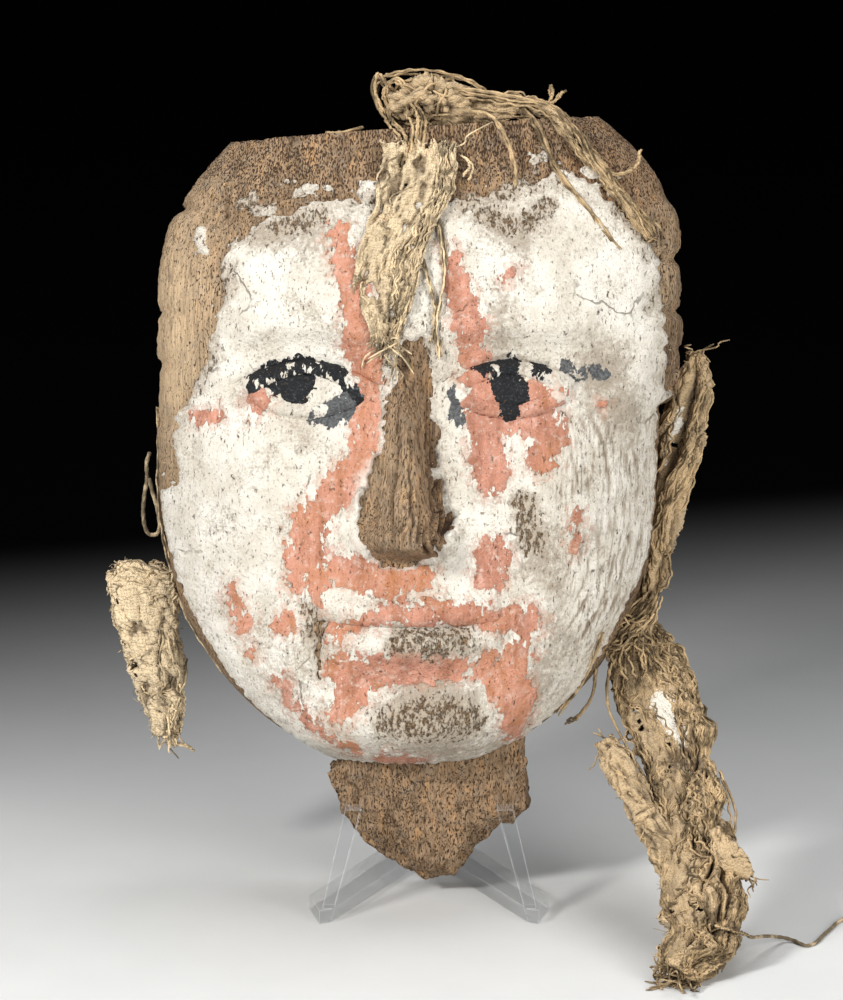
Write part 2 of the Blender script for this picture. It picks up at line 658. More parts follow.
def flake_group():
    """A painted or stained area: its field, in mm, is cut off at a ragged edge with small losses."""
    group, given, made = new_group(
        "flaked_area", {"Field": 0.0, "Ragged": 0.5, "Loss": 0.0, "Edge": 0.12}, ("Mask",)
    )
    place = object_place(group)
    fine = speckle(group, place, 900, 4, 0.65)
    holes = speckle(group, along_grain(group, 2.2), 420, 4, 0.6)
    broken = times(group, less(group, fine, 0.5), times(group, given["Ragged"], 4))
    lost = times(group, larger(group, less(group, holes, 0.5), 0), times(group, given["Loss"], 30))
    field = less(group, plus(group, given["Field"], broken), lost)
    share = calc(group, "DIVIDE", field, given["Edge"], capped=True)
    group.links.new(share, made["Mask"])
    return group


def use_group(tree, group, values):
    node = add(tree, "Group")
    node.node_tree = group
    for key, value in values.items():
        if isinstance(value, bpy.types.NodeSocket):
            tree.links.new(value, node.inputs[key])
        else:
            node.inputs[key].default_value = value
    return node.outputs


def flaked(tree, group, field, ragged, loss):
    """Where a flaked area still holds."""
    return use_group(tree, group, {"Field": field, "Ragged": ragged, "Loss": loss})["Mask"]


def new_material(name, **values):
    """A material with a Principled shader; returns it with its tree and shader."""
    material = bpy.data.materials.new(name)
    material.use_nodes = True
    tree = material.node_tree
    shader = tree.nodes["Principled BSDF"]
    for key, value in values.items():
        shader.inputs[key.replace("_", " ")].default_value = value
    return material, tree, shader


def surface(tree, shader, colour, height, depth):
    """Feeds a colour and a bump of that depth in metres into the shader."""
    tree.links.new(colour, shader.inputs["Base Color"])
    bump = add(tree, "Bump", {"Height": height, "Distance": depth, "Strength": 1.0})
    tree.links.new(bump.outputs[0], shader.inputs["Normal"])


def looks():
    return bpy.context.scene.mask_colours


def sizes():
    return bpy.context.scene.mask_sizes


def wood_material():
    """Dry grey-brown wood: streaks between three browns, dark pits, warmer breaks, pale rubbing and
    the grey of old dust."""
    material, tree, shader = new_material("aged_wood", Roughness=0.9, Specular_IOR_Level=0.25)
    c = looks()
    grain = use_group(tree, grain_group(), {"Pits": field_of(tree, "pits")})
    place = object_place(tree)
    brown = blend(tree, grain["Streak"], tones(c.wood, 0.3), tones(c.wood, 1.6, 0.01))
    tan = span(tree, speckle(tree, along_grain(tree, 4), 420, 4, 0.65), 0.5, 0.68, 0, 0.75)
    ochre = blend(
        tree, times(tree, tan, calc(tree, "MULTIPLY_ADD", grain["Streak"], 0.7, 0.3)), brown,
        (0.47, 0.27, 0.12)
    )
    warm = blend(tree, times(tree, field_of(tree, "warm"), 0.6), ochre, (0.25, 0.10, 0.042))
    streaky = blend(tree, times(tree, grain["Streak"], 0.7), warm, ochre)
    rubbed = times(tree, field_of(tree, "pale"), calc(tree, "MULTIPLY_ADD", grain["Streak"], 0.65, 0.35))
    bright = blend(tree, rubbed, streaky, (0.64, 0.475, 0.30))
    dust = span(tree, speckle(tree, place, 240, 5, 0.7), 0.48, 0.75, 0, 0.55)
    dusty = blend(tree, dust, bright, (0.27, 0.225, 0.175))
    long = speckle(tree, along_grain(tree, 20), 1500, 4, 0.55)
    line = times(tree, span(tree, long, 0.47, 0.38, 0, 0.9), field_of(tree, "lines"))
    pitted = larger(tree, times(tree, grain["Pit"], 0.96), line)
    hollow = larger(tree, pitted, field_of(tree, "crack"))
    colour = blend(tree, hollow, dusty, c.wood_dark)
    fine = speckle(tree, place, 2600, 3)
    height = plus(tree, grain["Height"], times(tree, fine, 0.45))
    surface(tree, shader, colour, height, depth=sizes().pit * 0.75)
    return material


def tones(colour, factor, lift=0.0):
    """A lighter or darker tone of a colour."""
    return tuple(min(1.0, x * factor + lift) for x in tuple(colour)[:3])


def crack_lines(tree, place, scale, width):
    """Fine cracks: the borders between uneven cells, only where a broad noise lets them show."""
    bent = add(tree, "TexNoise", {"Vector": place, "Scale": scale * 5, "Detail": 4.0}).outputs["Color"]
    push = add(tree, "VectorMath", {0: bent, "Scale": 0.22 / scale}, operation="SCALE").outputs[0]
    moved = add(tree, "VectorMath", {0: place, 1: push}, operation="ADD").outputs[0]
    cells = add(tree, "TexVoronoi", {"Vector": moved, "Scale": scale}, feature="DISTANCE_TO_EDGE")
    line = span(tree, cells.outputs["Distance"], width, width * 0.35)
    shown = span(tree, speckle(tree, place, scale * 1.2, 3), 0.60, 0.67)
    return times(tree, line, shown)


def plaster_material():
    """Cream gesso with soil in its hollows, brown brush streaks, cracks and dark flecks, and what is
    left of the red flesh paint and black eye paint."""
    material, tree, shader = new_material(
        "painted_plaster", Roughness=0.92, Specular_IOR_Level=0.2
    )
    c = looks()
    place = object_place(tree)
    flake = flake_group()
    crumbs = speckle(tree, place, 1500, 5, 0.68)
    cloud = speckle(tree, place, 75, 5, 0.62)
    base = blend(
        tree, span(tree, cloud, 0.36, 0.68), c.plaster,
        [x * y for x, y in zip(c.plaster, (0.80, 0.77, 0.73))]
    )

    grain_dirt = times(tree, less(tree, 0.5, crumbs), 2.6)
    soil = span(tree, plus(tree, field_of(tree, "hollow"), grain_dirt), 0.4, 1.4, 0, 0.46)
    mottle = times(tree, less(tree, speckle(tree, place, 650, 5, 0.72), 0.5), 26)
    grime = span(tree, plus(tree, field_of(tree, "grime"), mottle), -1.5, 6.5, 0, 0.62)
    streak = speckle(tree, along_grain(tree, 7), 1100, 5, 0.65)
    lines = larger(
        tree, span(tree, streak, 0.5, 0.64, 0, 0.66),
        times(tree, field_of(tree, "scratch"), span(tree, streak, 0.35, 0.5, 0, 0.85))
    )
    striped = times(tree, field_of(tree, "stripe"), lines, capped=True)
    flecks = span(tree, speckle(tree, along_grain(tree, 1.9), 1700, 2, 0.5), 0.67, 0.71, 0, 0.68)
    cracks = crack_lines(tree, place, 44, 0.013)
    dirt = larger(tree, larger(tree, soil, grime), larger(tree, striped, flecks))
    white = blend(tree, dirt, base, c.soil)

    red_field = field_of(tree, "red")
    red_mask = flaked(tree, flake, red_field, 0.55, 0.5)
    near = plus(tree, red_field, 2.0)
    worn_red = flaked(tree, flake, near, 1.9, 1.8)
    chips = span(tree, speckle(tree, place, 800, 3, 0.6), 0.67, 0.70, 1, 0)
    wash = span(tree, speckle(tree, along_grain(tree, 5), 260, 6, 0.7), 0.3, 0.7)
    warm = span(tree, speckle(tree, place, 38, 2), 0.42, 0.6)
    brick = blend(tree, warm, tones(c.red, 0.68), (c.red[0] * 0.86, c.red[1] * 0.84, c.red[2] * 0.62))
    clouded = blend(tree, wash, brick, tones(c.red, 1.1, 0.06))
    rubbed = span(tree, speckle(tree, place, 130, 5, 0.65), 0.5, 0.72, 0, 0.55)
    specks = span(tree, speckle(tree, place, 1500, 2, 0.5), 0.66, 0.70, 0, 0.7)
    red_tone = blend(
        tree, specks, blend(tree, rubbed, clouded, tones(c.red, 1.0, 0.16)), tones(c.soil, 0.5)
    )
    pinked = blend(tree, times(tree, worn_red, 0.36), white, red_tone)
    beside = plus(tree, red_field, 0.22)
    around = flaked(tree, flake, beside, 0.55, 0.5)
    step = times(tree, less(tree, around, red_mask, capped=True), span(tree, cloud, 0.42, 0.6, 0, 0.6))
    outlined = blend(tree, step, pinked, tones(c.soil, 0.6))
    painted = blend(tree, times(tree, red_mask, chips), outlined, red_tone)
    dusted = blend(tree, span(tree, speckle(tree, place, 520, 5, 0.7), 0.5, 0.72, 0, 0.42), painted, base)
    soiled = blend(tree, times(tree, larger(tree, soil, striped), 0.6), dusted, c.soil)

    grey_mask = flaked(tree, flake, field_of(tree, "grey"), 0.45, 0.4)
    black_mask = flaked(tree, flake, field_of(tree, "black"), 0.45, 0.35)
    greyed = blend(
        tree, grey_mask, soiled,
        blend(tree, span(tree, crumbs, 0.4, 0.62), tones(c.grey, 0.6), tones(c.grey, 1.25))
    )
    black_tone = blend(tree, span(tree, crumbs, 0.5, 0.72), c.black, tones(c.black, 4.5))
    inked = blend(tree, black_mask, greyed, black_tone)
    lit = blend(tree, field_of(tree, "edge"), inked, tones(c.plaster, 1.05))
    grains = speckle(tree, along_grain(tree, 2.2), 1150, 5, 0.72)
    bare = span(tree, calc(tree, "MULTIPLY_ADD", field_of(tree, "thin"), 0.13, grains), 0.60, 0.69)
    stained = blend(tree, times(tree, field_of(tree, "thin"), 0.6), lit, (0.46, 0.385, 0.295))
    bare_tone = blend(tree, span(tree, crumbs, 0.42, 0.6), tones(c.wood, 0.35), tones(c.wood, 1.2))
    chalky = blend(tree, bare, stained, bare_tone)
    cracked = blend(tree, times(tree, cracks, 0.62), chalky, tones(c.soil, 0.35))

    film = times(tree, larger(tree, red_mask, larger(tree, black_mask, grey_mask)), 0.4)
    lumps = plus(tree, speckle(tree, place, 420, 4), times(tree, speckle(tree, place, 190, 3), 1.4))
    height = calc(tree, "MULTIPLY_ADD", lumps, 1.1, plus(tree, crumbs, film))
    sunk = larger(tree, larger(tree, flecks, cracks), times(tree, bare, 1.2))
    height = less(tree, height, times(tree, sunk, 0.6))
    surface(tree, shader, cracked, height, depth=0.00062)
    return material


ACRYLIC_IOR = 1.49


def clear_material(name, body, alpha, roughness):
    """Clear cast sheet: see-through faces, or rounded edges that gather light."""
    return new_material(
        name, Roughness=roughness, IOR=ACRYLIC_IOR, Alpha=alpha, Transmission_Weight=body,
        Base_Color=(0.93, 0.965, 0.975, 1),
    )[0]


def floor_material():
    """Pale paper that falls away into black behind the object."""
    material, tree, shader = new_material("pale_floor", Roughness=0.75, Specular_IOR_Level=0)
    place = object_place(tree)
    tone = span(tree, speckle(tree, place, 30, 4), 0.3, 0.7)
    c = looks().floor
    axes = add(tree, "SeparateXYZ", {0: place}).outputs
    depth = calc(tree, "MULTIPLY_ADD", axes["X"], -0.27, axes["Y"])
    pale = blend(tree, tone, c, tones(c, 0.97))
    faded = blend(tree, span(tree, depth, -0.08, 0.392), pale, (0.0012, 0.0012, 0.0015))
    surface(tree, shader, faded, speckle(tree, place, 900), 0.00004)
    return material


# Operators, one for each piece or group of like pieces


class MASK_OT_camera(bpy.types.Operator):
    """Adds the camera in front of the mask, a little above it"""

    bl_idname = "mask.camera"
    bl_label = "Camera"

    elevation: bpy.props.FloatProperty(
        name="Elevation", description="Height of the view over the table", default=math.radians(15),
        subtype="ANGLE",
    )
    distance: bpy.props.FloatProperty(
        name="Distance", description="From the aim to the lens", default=1.05, unit="LENGTH"
    )

    def execute(self, context):
        aim = Vector((0.0002, 0.0133, 0.106))
        away = Vector((0, -math.cos(self.elevation), math.sin(self.elevation)))
        camera = bpy.data.objects.new("camera", bpy.data.cameras.new("camera"))
        context.scene.collection.objects.link(camera)
        camera.location = aim + away * self.distance
        camera.rotation_euler = (-away).to_track_quat("-Z", "Y").to_euler()
        camera.data.sensor_width = 24
        camera.data.sensor_height = 24
        camera.data.lens = 96.9
        camera.data.clip_end = 20
        context.scene.camera = camera
        return {"FINISHED"}


class MASK_OT_threads(bpy.types.Operator):
    """Lays the two loose threads: the loop at the left edge and the one along the table"""

    bl_idname = "mask.threads"
    bl_label = "Loose threads"

    def execute(self, context):
        material = yarn_material()
        for name, route, width, far_end in (
            ("loop_strand", LOOP_ROUTE, 1.2, "object"),
            ("floor_strand", FLOOR_ROUTE, 1.0, "bare"),
        ):
            steps = 12 * (len(route) - 1) + 1
            path = smooth_curve(np.array(route) + SHIFT, np.linspace(0, 1, steps))
            points, faces, uv = tube_mesh(path[None], width / 2 / 1.1, sides=10, ply=0.1, turns=2.6)
            piece = new_piece(name, points, faces, material, uv=uv)
            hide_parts(name.replace("strand", "thread"))
        return {"FINISHED"}


def linen_shade(stained):
    return looks().linen_stained if stained else looks().linen


def yarn_material(stained=False):
    """Spun linen: fibres turned around the yarn, tan with darker hollows."""
    name = "stained_yarn" if stained else "linen_yarn"
    found = bpy.data.materials.get(name)
    if found:
        return found
    material, tree, shader = new_material(name, Roughness=0.95, Specular_IOR_Level=0.2)
    c = looks()
    shade = linen_shade(stained)
    place = object_place(tree)
    uv = add(tree, "UVMap", uv_map="Cloth").outputs[0]
    spin = add(tree, "Mapping", {"Vector": uv, "Scale": (14, 2.4, 1)}).outputs[0]
    fibre = speckle(tree, spin, 1.0, 3, 0.6)
    tone = speckle(tree, place, 260, 4, 0.6)
    own = plus(
        tree, span(tree, tone, 0.3, 0.7), calc(tree, "MULTIPLY_ADD", field_of(tree, "tone"), 0.8, -0.4)
    )
    tan = blend(tree, own, tones(shade, 0.3), tones(shade, 1.6))
    colour = blend(tree, span(tree, fibre, 0.3, 0.55, 0.6, 0), tan, c.linen_dark)
    surface(tree, shader, colour, fibre, 0.00015)
    return material


def rim_loop(rows, columns):
    """Numbers of a grid's edge points, once around: bottom, right, top, left."""
    bottom = np.arange(columns)
    right = np.arange(rows) * (columns + 1) + columns
    top = rows * (columns + 1) + np.arange(columns, 0, -1)
    left = np.arange(rows, 0, -1) * (columns + 1)
    return np.concatenate([bottom, right, top, left])


TENON_OUTLINE = (
    (0.94, 0.3), (-0.86, 0.3), (-0.9, -0.01), (-1.02, -0.08), (-0.9, -0.28), (-0.88, -0.4),
    (-0.7, -0.64), (-0.34, -0.86), (-0.05, -1), (0.3, -0.92), (0.5, -0.7), (0.68, -0.56),
    (0.84, -0.53), (1, -0.38), (0.97, -0.04),
)


def tenon_shell(rings=22, around=230):
    """The broken tenon: its outline shrunk towards its middle over the front and the back, joined by
    a worn edge, with splinters and grain pushed out along its normals."""
    outline = np.array(TENON_OUTLINE) * [TENON_WIDTH / 2, TENON_LENGTH] + [TENON_AXIS, 0]
    closed = np.vstack([outline, outline[:1]])
    stretch = np.cumsum(np.r_[0, np.linalg.norm(np.diff(closed, axis=0), axis=1)])
    at = np.linspace(0, stretch[-1], around, endpoint=False)
    edge = np.stack([np.interp(at, stretch, closed[:, k]) for k in (0, 1)], -1)
    centre = np.array([TENON_AXIS, -0.32 * TENON_LENGTH])
    inner = np.linspace(0.03, 1, rings)
    share = np.r_[inner, np.ones(8), inner[::-1]]
    depth = np.r_[np.ones(rings), np.linspace(1, 0, 10)[1:-1], np.zeros(rings)]
    flat = centre + (edge[None] - centre) * share[:, None, None]
    front = TENON_BACK + TENON_THICKNESS - TENON_TIP_SETBACK * clamp(-flat[..., 1] / TENON_LENGTH) ** 1.2
    worn = 2.2 * smooth(0.75, 1, share)[:, None] * (depth[:, None] - 0.5) * 2
    w = TENON_BACK + (front - TENON_BACK) * depth[:, None] - worn
    grid = np.concatenate([flat, w[..., None]], -1)
    out = unit(np.cross(np.gradient(grid, axis=0), np.roll(grid, -1, 1) - np.roll(grid, 1, 1)))
    u, v, w = np.moveaxis(grid, -1, 0)
    amount = 0.9 * rough(u, v, 7, 61, 3, w) + 0.55 * rough(u, v / 5, 1.6, 67, 2, w)
    amount -= 0.9 * smooth(0.35, 0.7, noise(u, v / 3.5, 1.3, 71, w))
    grid = grid + out * (amount * smooth(0.06, 0.3, share)[:, None])[..., None] - out * 0.35
    count = len(share)
    hubs = np.stack([grid[0].mean(0), grid[-1].mean(0)])
    ring = np.arange(around)
    ahead = (ring + 1) % around
    hub = count * around
    caps = [
        np.stack([np.full(around, hub), ring, ahead], -1),
        np.stack([np.full(around, hub + 1), hub - around + ahead, hub - around + ring], -1),
    ]
    points = np.vstack([grid.reshape(-1, 3), hubs])
    return points, grid_faces(count, around, around=True)[:, ::-1], np.vstack(caps)


class MASK_OT_wood(bpy.types.Operator):
    """Carves the wooden board: the face, the cut sides, the flat back and the broken tenon"""

    bl_idname = "mask.wood"
    bl_label = "Carved wood"

    columns: bpy.props.IntProperty(name="Columns", description="Across the face", default=178)
    rows: bpy.props.IntProperty(name="Rows", description="Up the face", default=212)

    def execute(self, context):
        columns, rows = self.columns, self.rows
        pit = sizes().pit / MM
        u, level, grid = face_grid(columns, rows)
        out = outward(grid)
        bare = 1 - smooth(-0.6, 0.6, coverage(u, level))
        amount = 0.45 * rough(u, level, 15, 3) + 0.28 * rough(u, level / 7, 1.7, 5, 2)
        amount -= 0.6 * pit * smooth(0.3, 0.6, noise(u, level / 2.6, 1.5, 7)) * (0.3 + 0.7 * bare)
        splits = nose_splits(u, level) + corner_splits(u, level)
        amount -= splits
        fade = smooth(0, 2.2, half_width(level, np.sign(u)) - abs(u))
        grid = grid + out * ((amount - 0.15) * fade)[..., None]

        # The cut sides and the flat back, as rings that shrink from the face's edge
        loop = rim_loop(rows, columns)
        edge = grid.reshape(-1, 3)[loop]
        inset = 1 - BACK_INSET / (FACE_WIDTH / 2)
        middle = np.array([0, MASK_HEIGHT / 2])
        side = np.linspace(0, 1, 14)[1:, None, None]
        foot = middle + (edge[:, :2] - middle) * inset
        walls = np.concatenate(
            [edge[None, :, :2] * (1 - side) + foot[None] * side, edge[None, :, 2:] * (1 - side)], -1
        )
        shrink = np.linspace(1, 0.02, 18)[1:, None, None]
        backs = np.concatenate(
            [middle + (foot[None] - middle) * shrink, np.zeros((17, len(loop), 1))], -1
        )
        shell = np.concatenate([edge[None], walls, backs])
        around = np.roll(shell, -1, 1) - np.roll(shell, 1, 1)
        shell_out = unit(np.cross(around, np.gradient(shell, axis=0)))
        su, sv, sw = np.moveaxis(shell, -1, 0)
        bumps = 0.55 * rough(su, sv, 9, 11, 3, sw) + 0.3 * rough(su, sv / 6, 1.8, 13, 2, sw)
        bumps -= pit * smooth(0.3, 0.65, noise(su, sv / 2.8, 1.4, 17, sw))
        steps = np.arange(len(shell))[:, None]
        bumps = (bumps - 0.35) * smooth(0, 3, steps) * (1 - smooth(len(shell) - 4, len(shell), steps))
        shell = shell + shell_out * bumps[..., None]

        # One shell of the face, the rings and the tenon
        front = grid.reshape(-1, 3)
        ring = len(loop)
        base = len(front)
        later = shell[1:].reshape(-1, 3)
        joint = np.stack(
            [loop, base + np.arange(ring), base + (np.arange(ring) + 1) % ring, np.roll(loop, -1)], -1
        )
        later_faces = grid_faces(len(shell) - 1, ring, around=True, start=base)[:, ::-1]
        hub = base + len(later)
        last = hub - ring + np.arange(ring)
        cap = np.stack([np.full(ring, hub), np.roll(last, -1), last], -1)
        tenon, tenon_quads, tenon_caps = tenon_shell()
        start = hub + 1
        points = np.vstack([front, later, shell[-1].mean(0), tenon])
        faces = [
            np.vstack([grid_faces(rows + 1, columns + 1), joint, later_faces, tenon_quads + start]),
            np.vstack([cap, tenon_caps + start]),
        ]
        pu, pv = points.T[:2]
        on_front = np.zeros(len(points))
        on_front[:base] = 1
        rest = np.zeros(len(points) - base)
        fields = {
            "crack": np.r_[smooth(0.5, 1.4, splits).ravel(), rest],
            "warm": wood_warmth(pu, pv) * on_front + 0.12 * (1 - on_front),
            "pale": clamp(
                0.95 * bell((pu + 62) / 16, (pv - 112) / 38) + 0.7 * bell((pu - 66) / 5, (pv - 128) / 12)
                + 0.42 * bell((pu + 5) / 8, (pv - 74) / 18)
            ),
            "lines": clamp(bell(pu / 13, (pv - 78) / 21) + 0.4 * bell((pu + 62) / 14, (pv - 112) / 40)),
            "pits": 0.72 - 0.6 * bell((pu + 62) / 14, (pv - 112) / 36) + 0.25 * noise(pu, pv, 14, 19)
            + 0.34 * smooth(148, 156, pv) - 0.45 * bell(pu / 12, (pv - 76) / 20),
        }
        place = on_mask(*points.T)
        piece = new_piece("mask_wood", place, faces, wood_material(), fields)
        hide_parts("carved_mask")
        return {"FINISHED"}


def wood_warmth(u, v):
    """Redder where the wood is freshly broken: on the nose and by the right corner."""
    broken = smooth(-2, 3, strokes(u, v, LOST[0]))
    return clamp(
        0.22 * broken * smooth(0, 8, u) + 0.05 * broken + 0.4 * bell(
            (u - 47) / 16, (v - 152) / 9
        ) + 0.1 * bell((u - 6) / 12, (v - 158) / 8) + 0.05
    )


def grooves(u, v, *lines):
    """Depth in mm of V grooves, each a line of (u, v, depth) points with a half width of 0.5 mm."""
    deepest = np.zeros(np.shape(u))
    for line in lines:
        for (ax, ay, ad), (bx, by, bd) in zip(line, line[1:]):
            dx, dy = bx - ax, by - ay
            t = clamp(((u - ax) * dx + (v - ay) * dy) / (dx * dx + dy * dy))
            away = np.hypot(u - ax - t * dx, v - ay - t * dy)
            deepest = np.maximum(deepest, (ad + (bd - ad) * t) * clamp(1.25 - away / 0.55))
    return deepest


def nose_splits(u, v):
    """Long splits that follow the grain down the bare nose."""
    wave = u + 0.7 * rough(u, v, 8, 23)
    return grooves(
        wave, v,
        ((7.2, 88, 0.2), (8.6, 78, 2.6), (10.2, 68, 3), (9.6, 60, 1.6)),
        ((4.6, 97, 0.4), (5.4, 84, 1.6), (6.6, 70, 1.9), (6.2, 61, 0.6)),
        ((-2.6, 98, 0.2), (-3.4, 82, 1.2), (-4.4, 66, 1.4), (-4.2, 58, 0.5)),
        ((0.8, 90, 0.2), (0.9, 76, 1.2), (1.6, 62, 1.3)), ((-7.6, 80, 0.3), (-8.8, 66, 1.3)),
        ((11.4, 72, 1.4), (12, 64, 2.4)), ((3.2, 74, 0.4), (3.4, 60, 1.4)),
        ((8.4, 84, 0.3), (11.2, 74, 2.6), (13.2, 66, 2.2)), ((6, 92, 0.3), (7.4, 76, 2), (8.6, 62, 2.4)),
        ((10.8, 65, 1.5), (11, 58, 3)), ((4.6, 64, 1), (4.9, 56.5, 2.8)), (
            (7.4, 60, 1.6), (7.6, 56.5, 2.8)
        ),
    )


def corner_splits(u, v):
    """Splits along the grain at the right corner and the left temple."""
    wave = u + 0.5 * rough(u, v, 9, 27)
    return grooves(
        wave, v,
        ((63.3, 146, 0.3), (64.8, 136, 1.8), (67, 124, 0.3)), ((61.3, 148, 0.3), (63, 134, 1.2)),
        ((66.5, 140, 1.4), (68, 131, 2)), ((57.8, 150, 0.3), (59.8, 138, 1)),
        ((-46, 158, 0.5), (-47, 143, 1.2)), ((-63, 128, 0.4), (-64, 108, 1.1)),
        ((-58, 134, 0.3), (-59, 118, 1)), ((20, 163, 1), (20.5, 154, 0.4)),
        ((-70, 112, 0.3), (-66.8, 96, 1.2), (-66, 80, 0.4)),
    )


class MASK_OT_plaster(bpy.types.Operator):
    """Lays the plaster coat over the face, broken away where the wood shows"""

    bl_idname = "mask.plaster"
    bl_label = "Plaster coat"

    columns: bpy.props.IntProperty(name="Columns", description="Across the face", default=254)
    rows: bpy.props.IntProperty(name="Rows", description="Up the face", default=312)

    def execute(self, context):
        coat = sizes().coat / MM
        u, level, grid = face_grid(self.columns, self.rows)
        out = outward(grid)
        cover = coverage(u, level)
        red = paint(u, level, RED, 4.5, 51)
        black = paint(u, level, BLACK, 3.2, 57, 0.55)
        grey = paint(u, level, GREY, 3.2, 63, 0.5)
        grime = strokes(u, level, *GRIME) + 3 * rough(u, level, 8, 73)
        ink = np.maximum(np.maximum(red, black), grey)

        thin = thinness(u, level, cover)
        crumbly = (0.45 + 0.9 * (1 - smooth(0, 7, cover))) * (1 - 0.5 * thin)
        worked = stripes(u, level)
        thick = coat * smooth(-0.25, 0.9, cover) + 0.3 * smooth(1, 6, cover) * rough(u, level, 11, 81)
        thick += 0.22 * smooth(-0.06, 0.06, rough(u, level, 5.5, 85) - 0.18) * smooth(1, 3, cover)
        thick += 0.12 * crumbly * noise(u, level, 1.25, 87) + 0.16 * crumbly * noise(u, level, 2.4, 89)
        thick += 0.2 * smooth(-0.12, 0.2, ink)
        thick -= 0.16 * worked * smooth(0.05, 0.45, striation(u, level))
        thick -= 0.3 * smooth(0.55, 0.7, noise(u, level / 1.5, 1.5, 91)) * smooth(0.8, 2, cover)
        thick -= 0.5 * thin * smooth(0, 1, cover)
        thick -= (coat + 0.9) * (1 - smooth(-0.55, 0.1, cover))
        hollow = clamp(0.5 - 1.6 * (thick - coat) + 0.25 * (1 - smooth(0, 6, cover)))
        grid = grid + out * thick[..., None]

        faces = grid_faces(self.rows + 1, self.columns + 1)
        used, faces = keep_used(faces[cover.ravel()[faces].max(1) > -0.5])
        broken = 0.75 + 2.8 * bell((u + 13) / 6, (level - 72) / 13)
        rim = (1 - smooth(0.1, broken, cover)) * smooth(-0.6, -0.1, cover)
        fields = {
            "red": red, "black": black, "grey": grey, "grime": grime, "hollow": hollow,
            "stripe": worked, "edge": 0.8 * rim * (1 - thin), "thin": thin,
            "scratch": smooth(0.05, 0.5, striation(u, level)),
        }
        fields = {key: values.ravel()[used] for key, values in fields.items()}
        points = grid.reshape(-1, 3)[used]
        place = on_mask(*points.T)
        new_piece("plaster_coat", place, faces, plaster_material(), fields)
        return {"FINISHED"}


def stripes(u, v):
    """How strongly the plaster shows its brown brush streaks: the right cheek and jaw, the left
    jaw and the chin."""
    right = smooth(31, 44, u) * (1 - smooth(84, 98, v)) * smooth(6, 30, v)
    left = 0.55 * bell((u + 30) / 10, (v - 26) / 12)
    chin = 0.5 * bell((u - 4) / 30, (v - 6) / 6)
    return clamp(right * (0.75 + 0.5 * rough(u, v, 14, 95)) + left + chin)


def striation(u, v):
    """Fine brush lines that curve round the cheek, as noise drawn out along circles."""
    away = np.hypot(u + 12, v - 70)
    turn = np.arctan2(v - 70, u + 12) * 46
    return noise(away, turn / 8, 1.25, 97) + 0.5 * noise(away, turn / 6, 0.9, 99)


# Linen: strips wrapped along a path, with yarns laid over them


def carried_strip(stations, facing, rows, columns, turn=(0.0, 2 * math.pi), ragged=0.03, seed=1):
    """A strip of cloth rolled along a smooth path of (x, y, z, half width, half thickness, turn):
    across is the path's direction crossed with facing, and the cloth runs round an oval between two
    angles, a little further out as it goes. Its ends are torn unevenly. Gives points, outward
    normals, the distance round and the distance along, all in mm."""
    angle = np.linspace(*turn, columns)
    torn = ragged * noise(np.arange(columns) / columns, 0, 0.12, seed)
    share = np.linspace(0, 1, rows)[:, None]
    along = clamp(share * (1 + torn * smooth(0.6, 1, share)) - torn * smooth(0.4, 0, share) * 0.6)
    place = smooth_curve(stations, along)
    step = smooth_curve(stations, clamp(along + 0.004)) - smooth_curve(stations, clamp(along - 0.004))
    tangent = unit(step[..., :3])
    across = unit(np.cross(tangent, facing))
    out = np.cross(across, tangent)
    twist = place[..., 5:6]
    across, out = across * np.cos(twist) - out * np.sin(twist), out * np.cos(twist) + across * np.sin(twist)
    uneven = 1 + 0.13 * rough(place[..., 0], place[..., 2], 7, seed + 60, 2)[..., None]
    half, thick = place[..., 3:4] * uneven, place[..., 4:5] * uneven
    swell = 1 + 0.10 * np.linspace(-0.5, 0.5, columns)[:, None]
    cos, sin = np.cos(angle)[:, None], np.sin(angle)[:, None]
    points = place[..., :3] + swell * (across * half * cos + out * thick * sin)
    normal = unit(across * thick * cos + out * half * sin)
    stretch = np.linalg.norm(np.diff(points, axis=1, prepend=points[:, :1]), axis=-1)
    run = np.linalg.norm(np.diff(points, axis=0, prepend=points[:1]), axis=-1)
    return points, normal, np.cumsum(stretch, 1), np.cumsum(run, 0)


def crushed_strip(stations, facing, rows, columns, turn, ragged, seed, fold, depth):
    """A carried strip, pushed out along its normals by its crumpled height."""
    grid, normal, around, along = carried_strip(stations, facing, rows, columns, turn, ragged, seed)
    height = crumple(around, along, fold, depth, seed + 2)
    return grid + normal * height[..., None], normal, around, along, height


def crumple(around, along, fold, depth, seed, stretch=3.5):
    """Height of crushed cloth in mm: sharp folds drawn out along the strip, 1 - |noise|, over soft
    swells, with small crimps on both."""
    sway = around + 1.6 * noise(around, along, 8, seed + 19)
    bend = along + 3 * noise(around, along, 9, seed + 20)
    ridges = 1 - np.abs(rough(sway, bend / stretch, fold, seed, 3)) * 2.3
    drawn = max(1.0, stretch / 3.5)
    fine = 1 - np.abs(noise(sway + 0.4 * along, along / 1.5 / drawn, fold * 0.4, seed + 3)) * 2
    swell = noise(around, along, fold * 2.8, seed + 7)
    pits = smooth(0.3, 0.6, noise(sway, bend / 1.8 / drawn, fold * 0.8, seed + 9))
    return depth * (0.66 * ridges + 0.26 * fine / drawn + 0.75 * swell - 1.1 * pits - 0.2)


def quad_areas(grid):
    """Areas of a grid's cells, as half the cross product of their diagonals."""
    first, second = grid[1:, 1:] - grid[:-1, :-1], grid[1:, :-1] - grid[:-1, 1:]
    return np.linalg.norm(np.cross(first, second), axis=-1) / 2


